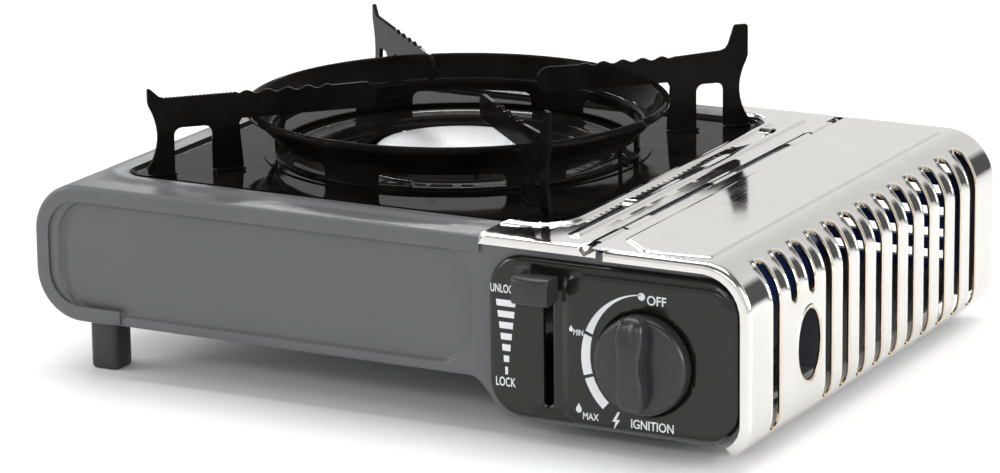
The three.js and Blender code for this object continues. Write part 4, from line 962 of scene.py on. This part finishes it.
ring = {"radius": 92.6, "foot": 81.0, "footZ": 84.0, "rimZ": 105.6, "windows": 6, "windowAngle": 41.0,
        "windowStart": 93.0, "windowHeight": 9.0, "windowCorner": 3.4, "sheet": 0.9, "rollRadius": 1.0,
        "seamGap": 1.2}


def makeRing(v):
    # profile: foot flange, upright band, small step, flare, then a rim rolled outwards; the windows are
    # cut in the plane of angle and distance along the profile
    foot, z0, waist, curl = v["foot"], v["footZ"], v["footZ"] + v["windowHeight"], v["rollRadius"]
    profile = np.vstack(([[foot + 5.2, z0 + 0.3], [foot + 1.6, z0 + 0.3]],
                         arcPoints(foot + 1.0, z0 + 1.3, 1.0, 270, 180, 5),
                         [[foot + 0.1, waist - 1.5], [foot + 0.5, waist]],
                         arcPoints(foot + 2.3, waist + 1.7, 1.9, 170, 110, 4),
                         [[foot + 4.2, waist + 3.0], [foot + 7.4, waist + 6.6], [foot + 10.0, z0 + 18.8]],
                         arcPoints(v["radius"] + 0.1 - curl * 0.2, v["rimZ"] - curl, curl, 150, -60, 9)))
    travel, length = pathTravel(profile), pathLength(profile)
    around = 2 * math.pi * foot
    low, high = (np.interp(z, profile[2:9, 1], travel[2:9]) for z in (z0 + 1.9, waist - 0.9))
    outer = resample(np.array([[0, 0], [around, 0], [around, length], [0, length]]), 3.2)
    r, w, gap = v["windowCorner"], math.radians(v["windowAngle"]) * foot, v["seamGap"]
    holes = []
    for i in range(v["windows"]):
        x0 = math.radians(v["windowStart"] + i * 360 / v["windows"]) % (2 * math.pi) * foot
        window = np.vstack((arcPoints(x0 + w - 4.2, high - r, r, 0, 90, 8),
                            arcPoints(x0 + 4.2, high - r, r, 90, 180, 8),
                            [[x0 + 0.8, low], [x0 + w - 0.8, low]]))
        if x0 + w > around:
            # a window over the seam becomes two, one at each end
            ends = (np.clip(window, None, [around - gap, 1e9]),
                    np.clip(window - [around, 0], [gap, -1e9], None))
            holes += [part for part in ends if np.ptp(part[:, 0]) > 3]
        else:
            holes.append(window)
    holes = [resample(dropRepeats(h), 2.5) for h in holes]
    flat, triangles = cutSheet(outer, holes, [], np.linspace(0, around, 181)[1:-1], travel[1:-1], room=0.35)
    angle = flat[:, 0] / foot
    spread = lambda r, z: (r * np.cos(angle), r * np.sin(angle), z)
    points = np.column_stack(spread(*readAlong(flat[:, 1], travel, profile))) + (burner["x"], burner["y"], 0)
    dr, dz = readAlong(flat[:, 1], travel, np.gradient(profile, travel, axis=0))
    size = np.hypot(dr, dz)
    normal = np.column_stack(spread(dz / size, -dr / size))
    net = weldSeam(points, triangles, normal, v["sheet"])
    makePiece("windRingShell", net, "pan_stand", blackEnamel, ["wind_ring"], sharp=50)


def weldSeam(points, triangles, normal, thickness):
    # points that share a place become one before the wall gets its thickness
    _, first, back = np.unique(np.round(points, 3), axis=0, return_index=True, return_inverse=True)
    merged = back.ravel()[triangles]
    good = (merged != np.roll(merged, 1, axis=1)).all(1)
    return thicken(points[first], merged[good], thickness, normal[first])


supports = {"reach": 136.6, "tip": 37.0, "leg": 98.1, "slotInner": 112.0, "slotOuter": 125.0, "slotRadius": 3.4,
            "foot": 84.0, "under": 105.9, "rest": 118.0, "spike": 130.0, "horn": 122.2, "thickness": 1.8,
            "tab": 6.0, "tabBend": 1.4, "toothPitch": 0.85, "toothDepth": 0.5, "wavePitch": 9.2,
            "waveRise": 0.75,
            "longer": {"reach": 140.6, "slotOuter": 129.0},
            "places": [("back_right", 45, -1, True), ("back_left", 135, 1, False),
                       ("front_left", 226, 1, False), ("front_right", 315, 1, True)]}


def bladeOutline(v, tall):
    # side view on distance from the burner and height: two legs, a saw-edged rest and a waisted outer end;
    # the waist is a half sine, the rest's waves are cosines that fade out towards the ring
    foot, reach, rest, leg, under, r = (v[k] for k in ("foot", "reach", "rest", "leg", "under", "slotRadius"))
    top = under - 2
    legs = np.vstack(([[leg, foot], [v["slotInner"], foot]],
                      arcPoints(v["slotInner"] + r, top - r, r, 180, 90, 6),
                      arcPoints(v["slotOuter"] - r, top - r, r, 90, 0, 6),
                      [[v["slotOuter"], foot], [reach + 0.4, foot]]))
    t = np.linspace(0, 1, 10)
    hollow = 4.6 * np.sin(math.pi * np.clip(t * 0.95, 0, 1)) ** 0.8 * (1 - 0.05 * t)
    waist = np.column_stack((reach + 0.4 - hollow, foot + 3 + 27 * t))
    if tall:
        spike = v["spike"]
        end = [[reach, rest - 2], [reach, spike - 0.8], [reach - 0.8, spike], [reach - 5.8, spike],
               [reach - 6.6, spike - 0.7], [reach - 9.2, rest + 3.4], [reach - 10.6, rest + 1.4],
               [reach - 13, rest + 0.6], [leg + 4, rest - 0.6]]
    else:
        horn, teeth = v["horn"], np.arange(reach - 7, leg + 3, -v["toothPitch"])
        saw = np.column_stack((teeth, rest - 0.2 - v["toothDepth"] * (np.arange(len(teeth)) % 2)))
        end = np.vstack(([[reach, rest - 2], [reach, horn - 0.7], [reach - 0.7, horn],
                          [reach - 1.5, horn - 0.3], [reach - 5.5, rest + 0.2]], saw))
    s = np.linspace(leg + 1, 57, 40)
    ripple = np.cos((s - 96) * 2 * math.pi / v["wavePitch"]) * ease((s - 56) / 4)
    waves = np.column_stack((s, rest - v["waveRise"] + v["waveRise"] * ripple))
    finger = np.vstack((arcPoints(v["tip"] + 6, rest - 6.5, 6, 100, 180, 6),
                        arcPoints(v["tip"] + 4, under + 3, 3, 200, 270, 5)))
    inner = [[leg + 0.4, under], [leg + 1.6, under - 2.0], [leg + 1.2, foot + 15]]
    return dropRepeats(np.vstack((legs, waist, end, waves, finger, inner)))


def makeSupports(supports):
    # an upright blade turned to its place round the burner, its two feet bent flat to one side
    for place, angle, side, tall in supports["places"]:
        v = {**supports, **supports["longer"]} if place == "front_left" else supports
        a, half, bend = math.radians(angle), v["thickness"] / 2, v["tabBend"]
        turnTo = np.array([[math.cos(a), math.sin(a), 0], [-math.sin(a), math.cos(a), 0], [0, 0, 1]])
        nets = [slabNet(bladeOutline(v, tall), -half, half, facing)]
        for r0, r1 in ((v["leg"], v["slotInner"]), (v["slotOuter"], v["reach"])):
            # the leg's foot is bent flat through a small quarter circle
            turn = arcPoints(0, 0, bend, 180, 270, 5) + (bend - half, bend + v["foot"])
            line = np.vstack(([[-half, v["foot"] + 4]], turn, [[v["tab"], v["foot"]]]))
            across, up = pathFrame(line, np.linspace(0, pathLength(line), 14))
            shell = np.vstack((across, (across + up * 1.1)[::-1]))
            nets.append(barNet(gridPoints(np.array([r0 + 0.4, r1 - 0.4]), side * shell[:, :1], shell[:, 1:])))
        points, faces = joinNets(*nets)
        points = points @ turnTo + (burner["x"], burner["y"], 0)
        makePiece("panSupport_" + place, (points, faces), "pan_stand", blackEnamel, ["pan_support_" + place],
                  bevel=0.45, sharp=40)


makeTray(dish)
makeRing(ring)
makeSupports(supports)
print("tray, ring and supports made")


# Burner

def makeBurner(v):
    # the cap is a shallow dome, an arc of a sphere, over a short rim
    top, r, t = v["top"], v["radius"], np.linspace(0, v["domeAngle"], 16)
    bottom = top - v["thickness"]
    dome = np.column_stack((np.sin(t) / math.sin(v["domeAngle"]) * (r - v["rim"]),
                            top - v["domeRise"] * (1 - np.cos(t)) / (1 - math.cos(v["domeAngle"]))))
    profile = [*dome.tolist(), [r - 0.5, top - 2.15], [r, top - 2.6], [r, bottom + 0.2], [r - 0.3, bottom],
               [r - 3, bottom], [r - 3.4, bottom - 1.5], [0, bottom - 0.2]]
    net = turnedNet(profile, (v["x"], v["y"]), "z", 128)
    makePiece("burnerCapCasting", net, "stove_body", castAluminium, ["burner_cap"], sharp=40)


makeBurner(burner)


# Control panel, with the lever's channel, and everything printed on it

panel = {"left": 52.5, "right": 166.3, "bottom": 10.2, "top": 79.0, "corner": 15.0, "back": -126.1,
         "face": -129.1, "raised": -130.4, "edge": 2.4, "stepX": 88.0, "rightInset": 3.5, "topInset": 3.5,
         "bottomInset": 0.8, "raisedCorner": 9.0, "raisedEdge": 2.6, "slotX": 79.8, "slotWidth": 4.6,
         "slotBottom": 16.5, "slotTop": 70.0, "slotSink": 0.5, "lipWidth": 0.9, "channelLeft": 68.5,
         "channelDepth": 0.9, "knobX": 125.0, "knobZ": 41.0, "hubHole": 6, "sink": 1.0, "sinkRadius": 22.3}


def makePanel(p):
    # depth over the panel's face: a quarter-round outer edge, a raised field with its own quarter round,
    # and eased dips for the lever's channel, the slot's lip and the sink behind the knob
    outline = lambda d: roundRect(p["left"] - d, p["right"] + d, p["bottom"] - d, p["top"] + d,
                                  p["corner"] + d, 12)
    raised = lambda d: roundRect(p["stepX"] - d, p["right"] - p["rightInset"] + d,
                                 p["bottom"] + p["bottomInset"] - d, p["top"] - p["topInset"] + d,
                                 p["raisedCorner"] + d, 10)
    half = p["slotWidth"] / 2
    slotShape = lambda d: roundRect(p["slotX"] - half - d, p["slotX"] + half + d, p["slotBottom"] - d,
                                    p["slotTop"] + d, half + d - 0.05, 6)
    hub = lambda r: ellipse(p["knobX"], p["knobZ"], r, r, 72)
    e, rim, lip = p["edge"], p["raisedEdge"], p["lipWidth"]
    lines = [resample(outline(d), 4) for d in (-0.12, -0.4, -0.9, -1.6, -e, -e - 0.5)]
    lines += [resample(slotShape(d), 3) for d in (0.4, lip)]
    lines += [hub(p["sinkRadius"] + d) for d in (-lip, -0.4, 0)]
    lines += [resample(raised(d), 4) for d in (-0.9, -rim)]
    gx, gz = np.arange(p["left"] + 1, p["right"], 1.6), np.arange(p["bottom"] + 1, p["top"], 1.6)
    flat, triangles = cutSheet(resample(outline(0), 4), [resample(slotShape(0), 3), hub(p["hubHole"])], lines,
                               gx, gz, room=0.25)
    corner = np.clip(1 - depthIn(flat, outline(0)) / e, 0, 1)
    y = p["face"] + (p["back"] + 0.05 - p["face"]) * (1 - np.sqrt(np.clip(1 - corner ** 2, 0, 1)))
    up = np.clip(depthIn(flat, raised(0)) / rim, 0, 1)
    y -= (p["face"] - p["raised"]) * np.sqrt(np.clip(1 - (1 - up) ** 2, 0, 1))
    x, z = flat[:, 0], flat[:, 1]
    across = ease((x - p["channelLeft"]) / 7) * ease((p["stepX"] + 0.4 - x) / 0.9)
    y += p["channelDepth"] * (across * ease((z - p["slotBottom"] + 4) / 4) * ease((p["top"] - 3 - z) / 4))
    y += p["slotSink"] * ease(1 - distanceTo(flat, slotShape(0)) / lip)
    y += p["sink"] * ease((p["sinkRadius"] - np.hypot(x - p["knobX"], z - p["knobZ"])) / lip)
    front, back = np.column_stack((x, y, z)), np.column_stack((x, np.full(len(x), p["back"] + 0.1), z))
    net = (np.vstack((front, back)), twoSkins(triangles, len(x)))
    makePiece("controlPanelMoulding", net, "stove_body", panelPlastic, ["control_panel"],
              sharp=60)


# bands of the scale in degrees; words as text, x, z, height, level and width
marks = {"depth": 0.12, "band": (24.7, 28.9), "arcs": ((93, 158), (161, 196.5), (199.5, 228.5)),
         "hairline": 0.5, "dot": (-1.4, 28.0, 1.6), "bars": 7, "barX": 61, "barTop": 59.9, "barPitch": 4.75,
         "barWidth": 4.6,
         "barLoss": 0.66, "barHeight": 2.75, "lastBar": 0.6, "flames": [(91.6, 51.7, 0.85), (94.9, 18.2, 1.3)],
         "flame": [(0, 1.9), (-0.5, 0.9), (-1, 0.1), (-0.9, -0.8), (-0.35, -1.3), (0.35, -1.3), (0.9, -0.8),
                   (1, 0.1), (0.55, 0.9)],
         "boltAt": (111.8, 15.2), "bolt": [(1.9, 3.9), (0.2, 0.4), (1.9, 0.6), (-1.0, -3.9), (-0.1, -0.3),
                                           (-1.7, -0.5), (0.9, 3.9)],
         "words": [("OFF", 130.4, 67.9, 4.0, "raised", 8.6), ("MIN", 94.9, 50.5, 2.5, "raised", 4.5),
                   ("MAX", 100.4, 15.5, 3.0, "raised", 7.2), ("IGNITION", 128.3, 15.0, 3.9, "raised", 19.2),
                   ("UNLOCK", 60.2, 64.6, 3.6, "face", 12.6), ("LOCK", 60.6, 24.9, 3.9, "face", 9.2)]}


def letters(text, x, z, size, y, width):
    # built-in letters become a mesh first, then stand upright on the panel, stretched to their width
    curve = bpy.data.curves.new("letters", "FONT")
    curve.body, curve.size, curve.extrude = text, 1, 0.05
    curve.align_x, curve.align_y, curve.offset = "CENTER", "CENTER", 0.012
    holder = bpy.data.objects.new("letters", curve)
    mesh = bpy.data.meshes.new_from_object(holder)
    raw = np.empty(len(mesh.vertices) * 3)
    mesh.vertices.foreach_get("co", raw)
    raw = raw.reshape(-1, 3)
    faces = [list(f.vertices) for f in mesh.polygons]
    bpy.data.objects.remove(holder)
    bpy.data.meshes.remove(mesh)
    lo, hi = raw.min(0), raw.max(0)
    raw = (raw - (lo + hi) / 2) * (width / (hi[0] - lo[0]), size / (hi[1] - lo[1]), 1)
    depth = marks["depth"]
    return np.column_stack((x + raw[:, 0], y - depth / 2 - raw[:, 2] * depth / 0.1, z + raw[:, 1])), faces


def makeMarks(p, m):
    # flat shapes drawn on x and z, each raised by the print's depth
    kx, kz = p["knobX"], p["knobZ"]
    levels = {"raised": p["raised"] + 0.02, "face": p["face"] + 0.02}
    inner, outer = m["band"]
    nets = []

    def printed(outline, level="raised"):
        y = levels[level]
        nets.append(slabNet(dropRepeats(np.asarray(outline, float)), y, y - m["depth"], facing))

    for start, end in m["arcs"]:
        # the regulating scale widens from a hair line at OFF to its full width
        a = np.radians(np.linspace(start, end, 34))
        grow = ease((np.degrees(a) - 92) / 90)
        low = outer - (m["hairline"] + (outer - inner - m["hairline"]) * grow)
        arc = lambda r: np.column_stack((kx + r * np.cos(a), kz + r * np.sin(a)))
        printed(np.vstack((arc(outer - 0.1), arc(low)[::-1])))
    dotX, dotZ, dotRadius = m["dot"]
    printed(ellipse(kx + dotX, kz + dotZ, dotRadius, dotRadius, 28))
    for i in range(m["bars"]):
        # bars from unlocked to locked, each shorter than the one before; the last is a little taller
        top, w = m["barTop"] - i * m["barPitch"], m["barWidth"] - i * m["barLoss"]
        foot = top - m["barHeight"] - (m["lastBar"] if i == m["bars"] - 1 else 0)
        printed([(m["barX"] + s * w, z) for s, z in ((-1, top), (-0.93, foot), (0.93, foot), (1, top))], "face")
    for x, z, size in m["flames"]:
        printed([(x + size * a, z + size * b) for a, b in m["flame"]])
    printed([(m["boltAt"][0] + a, m["boltAt"][1] + b) for a, b in m["bolt"]])
    for text, x, z, size, level, width in m["words"]:
        nets.append(letters(text, x, z, size, levels[level], width))
    makePiece("panelPrint", joinNets(*nets), "stove_body", whitePrint, merge=1e-4)


makePanel(panel)
makeMarks(panel, marks)
print("panel moulded and printed")


# Control knob

knob = {"x": 125.0, "z": 41.0, "radius": 20.8, "back": -131.0, "face": -137.0, "front": -146.0, "grip": 12.6,
        "gripX": 1.0, "waist": 1.1, "reach": 20.3, "lift": 1.9, "squareness": 0.35, "grooveDepth": 1.0,
        "grooveWidth": 0.75, "grooveFrom": 9.5, "grooveTo": 19.0}


def makeKnob(k):
    # the disc is turned; the grip is a squared half ellipse across, carried along its height, with its
    # half width drawn in by a squared cosine and its ends rounded; a shallow groove marks the top
    r, face = k["radius"], k["face"]
    profile = [[0, face], [r - 2.4, face], [r - 1.4, face + 0.25], [r - 0.6, face + 0.9],
               [r - 0.15, face + 1.8], [r, face + 2.8], [r, k["back"] + 0.5], [r - 0.4, k["back"] + 0.1],
               [0, k["back"] + 0.1]]
    disc = turnedNet(profile, (k["x"], k["z"]), "y", 144)
    along = k["reach"] * np.sin(np.linspace(-1, 1, 57) * math.pi / 2)
    part = along / k["reach"]
    endRound = np.sqrt(np.clip(1 - np.abs(part) ** 9, 0, 1))
    waist = k["waist"] * np.cos(part * math.pi) ** 2 * (np.abs(along) < k["reach"] / 2)
    halfWidth = (k["grip"] / 2 - waist) * endRound
    height = (face - k["front"]) * (0.72 + 0.28 * (1 - part ** 2)) * endRound ** 0.7
    a = np.linspace(0, math.pi, 33)
    sx = np.sign(np.cos(a)) * np.abs(np.cos(a)) ** k["squareness"]
    sy = np.abs(np.sin(a)) ** k["squareness"]
    x = k["x"] - k["gripX"] + halfWidth[:, None] * sx
    y = face + 0.6 - (height[:, None] + 0.6) * sy
    inGroove = ease((along - k["grooveFrom"]) / 0.8) * ease((k["grooveTo"] - along) / 0.8)
    groove = np.exp(-((x - k["x"] + k["gripX"]) / k["grooveWidth"]) ** 2) * inGroove[:, None]
    y = y + k["grooveDepth"] * groove * (sy > 0.95)
    grip = loftNet(gridPoints(x, y, k["z"] + k["lift"] + along[:, None]))
    makePiece("controlKnobMoulding", joinNets(disc, grip), "knob", knobPlastic, ["control_knob"],
              sharp=38)


makeKnob(knob)

lever = {"left": 71.3, "right": 87.8, "bottom": 63.4, "top": 74.6, "back": -133.9, "front": -145.4,
         "bulge": 0.9, "stub": (-1.5, 4.2, -6, 2.6), "stubDepth": 2.4}


def makeTab(v):
    # thumb tab: a side profile swept across, its front edge bowed by a parabola; a short upright stands
    # at its left
    back, front, top, bottom = v["back"], v["front"], v["top"], v["bottom"]
    profile = np.vstack(([[back, bottom + 1.0], [back, top - 0.4], [back - 4.5, top]],
                         arcPoints(front + 3.2, top - 3.0, 3.2, 80, 175, 6), [[front, bottom + 2.2]],
                         arcPoints(front + 1.6, bottom + 1.4, 1.6, 190, 270, 4), [[back - 4.0, bottom]]))
    u = np.linspace(-1, 1, 15)[:, None]
    x = (v["left"] + v["right"]) / 2 + u * (v["right"] - v["left"]) / 2
    reach = np.clip((back - profile[:, 0]) / (back - front), 0, 1)
    body = loftNet(gridPoints(x, profile[:, 0] + v["bulge"] * u ** 2 * reach, profile[:, 1]))
    x0, x1, z0, z1 = v["stub"]
    stub = slabNet(roundRect(v["left"] + x0, v["left"] + x1, top + z0, top + z1, 1.0, 3), back,
                   back - v["stubDepth"], facing)
    makePiece("leverTabMoulding", joinNets(body, stub), "lock_lever", knobPlastic, ["lever_tab"],
              bevel=0.5, sharp=40)


makeTab(lever)

feet = {"size": 14.0, "corner": 3.2, "tall": 23.7, "short": 9.2, "inset": (12.0, 40.0), "x": (-153.0, 120.0),
        "places": [("front_left", 0, 0, "tall"), ("back_left", 0, 1, "tall"), ("front_right", 1, 0, "short"),
                   ("back_right", 1, 1, "short")]}


def makeFeet(v):
    # rounded square blocks, drawn in by a tapered outline towards the table
    s = v["size"] / 2
    for name, i, j, height in v["places"]:
        inset, top = v["inset"][i], v[height]
        x0, y0 = v["x"][i], (casing["front"] + inset, casing["back"] - inset - v["size"])[j]
        levels = [(0, 0.9), (0.35, 0.35), (1.0, 0.1), (2.0, 0.0), (top * 0.5, 0.0), (top - 0.3, 0.0),
                  (top, 0.3)]
        rings = []
        for z, d in levels:
            loop = roundRect(d - s, s - d, d - s, s - d, v["corner"], 6) + (x0 + s, y0 + s)
            rings.append(np.column_stack((loop, np.full(len(loop), z))))
        makePiece("foot_" + name + "_block", loftNet(np.stack(rings)), "stove_body", footRubber,
                  ["foot_" + name])


makeFeet(feet)
print("knob, lever and feet made")


# Finishes of the CAD pieces that stay

kept = [(zincPlate, ["knob_spindle", "gas_valve", "burner_bracket", "electrode_bracket", "lever_arm",
                     "lever_bracket", "lever_pin", "cartridge_carriage", "carriage_rail_left",
                     "carriage_rail_right"]),
        (brass, ["cartridge_collar", "gas_jet", "gas_pipe"]), (castAluminium, ["mixing_tube", "burner_head"]),
        (panelPlastic, ["igniter"]), (ceramic, ["spark_electrode"]), (leadRubber, ["ignition_lead"]),
        (plateSteel, ["front_rivet_left", "front_rivet_right"])]
for finish, nodeNames in kept:
    for nodeName in nodeNames:
        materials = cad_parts[nodeName].data.materials
        materials.clear()
        materials.append(finish)


# Floor and light

studio = {"floor": 3.0, "floorColor": (0.92, 0.92, 0.92), "floorRoughness": (0.66, 0.74),
          "sky": [(0.0, 0.9), (0.3, 0.95), (0.5, 0.82), (0.62, 0.2), (0.8, 0.16), (1.0, 0.45)],
          "card": (0.5, 0.83, 0.1), "cardEdge": (0.945, 0.975), "cardLevel": 0.12}


def makeFloor(v):
    # a wide flat sheet at the height of the table
    ends = np.array([-v["floor"], v["floor"]])
    points, quads = gridNet(gridPoints(np.linspace(*ends, 9)[:, None], ends, 0.0))
    mesh = bpy.data.meshes.new("studioFloor")
    mesh.from_pydata(points.tolist(), [], quads[:, ::-1].tolist())
    f = Finish("studioWhite", v["floorColor"], 0.7)
    mesh.materials.append(f.give(Roughness=f.band(f.noise(8), 0.3, 0.7, *v["floorRoughness"])))
    piece = bpy.data.objects.new("studioFloor", mesh)
    bpy.context.scene.collection.objects.link(piece)


def makeLamp(name, place, aim, size, power):
    # a rectangular lamp at place, turned towards aim
    data = bpy.data.lights.new(name, "AREA")
    data.shape, data.size, data.size_y = "RECTANGLE", *size
    data.energy = power
    lamp = bpy.data.objects.new(name, data)
    bpy.context.scene.collection.objects.link(lamp)
    lamp.location = place
    lamp.rotation_mode = "QUATERNION"
    lamp.rotation_quaternion = (Vector(aim) - Vector(place)).to_track_quat("-Z", "Y")


def makeSky(v):
    # brightness by height above the horizon, dimmed round one direction as by a dark card
    world = bpy.data.worlds.new("studioAir")
    world.use_nodes = True
    tree = world.node_tree
    sky = tree.nodes["Background"]
    at, split, ramp, toCard, fade, both = (tree.nodes.new("ShaderNode" + kind) for kind in (
        "TexCoord", "SeparateXYZ", "ValToRGB", "VectorMath", "MapRange", "Math"))
    tree.links.new(at.outputs["Generated"], split.inputs[0])
    tree.links.new(split.outputs["Z"], ramp.inputs[0])
    toCard.operation, both.operation = "DOT_PRODUCT", "MULTIPLY"
    tree.links.new(at.outputs["Generated"], toCard.inputs[0])
    toCard.inputs[1].default_value = Vector(v["card"]).normalized()
    tree.links.new(toCard.outputs["Value"], fade.inputs["Value"])
    for key, value in zip(("From Min", "From Max", "To Min", "To Max"), (*v["cardEdge"], 1.0, v["cardLevel"])):
        fade.inputs[key].default_value = value
    tree.links.new(ramp.outputs["Color"], both.inputs[0])
    tree.links.new(fade.outputs[0], both.inputs[1])
    tree.links.new(both.outputs[0], sky.inputs["Strength"])
    levels = v["sky"]
    while len(ramp.color_ramp.elements) < len(levels):
        ramp.color_ramp.elements.new(0.5)
    for element, (height, level) in zip(ramp.color_ramp.elements, levels):
        element.position, element.color = height, (level, level, level, 1)
    sky.inputs["Color"].default_value = (1, 1, 1, 1)
    bpy.context.scene.world = world


makeFloor(studio)
makeSky(studio)
lamps = {"topPanel": ((-0.1, 0.25, 1.5), (0, 0, 0.05), (1.5, 1.0), 18),
         "leftPanel": ((-1.4, -0.9, 0.8), (0, 0, 0.06), (0.4, 1.0), 7),
         "rightPanel": ((1.5, -0.5, 0.7), (0.1, 0, 0.05), (0.6, 0.9), 4.5),
         "baySide": ((1.1, 0.1, 0.3), (0.1, 0, 0.06), (0.7, 0.35), 7),
         "frontStrip": ((0.3, -1.6, 0.9), (0, 0, 0.05), (0.9, 0.2), 4),
         "glintBack": ((-0.7, 1.1, 0.75), (0, 0, 0.08), (0.35, 0.03), 2.2),
         "glintLeft": ((-1.0, -0.2, 0.7), (0, 0, 0.08), (0.04, 0.3), 2)}
for lampName, (place, aim, size, power) in lamps.items():
    makeLamp(lampName, place, aim, size, power)
bpy.context.scene.view_settings.view_transform = "Standard"

print("scene ready")
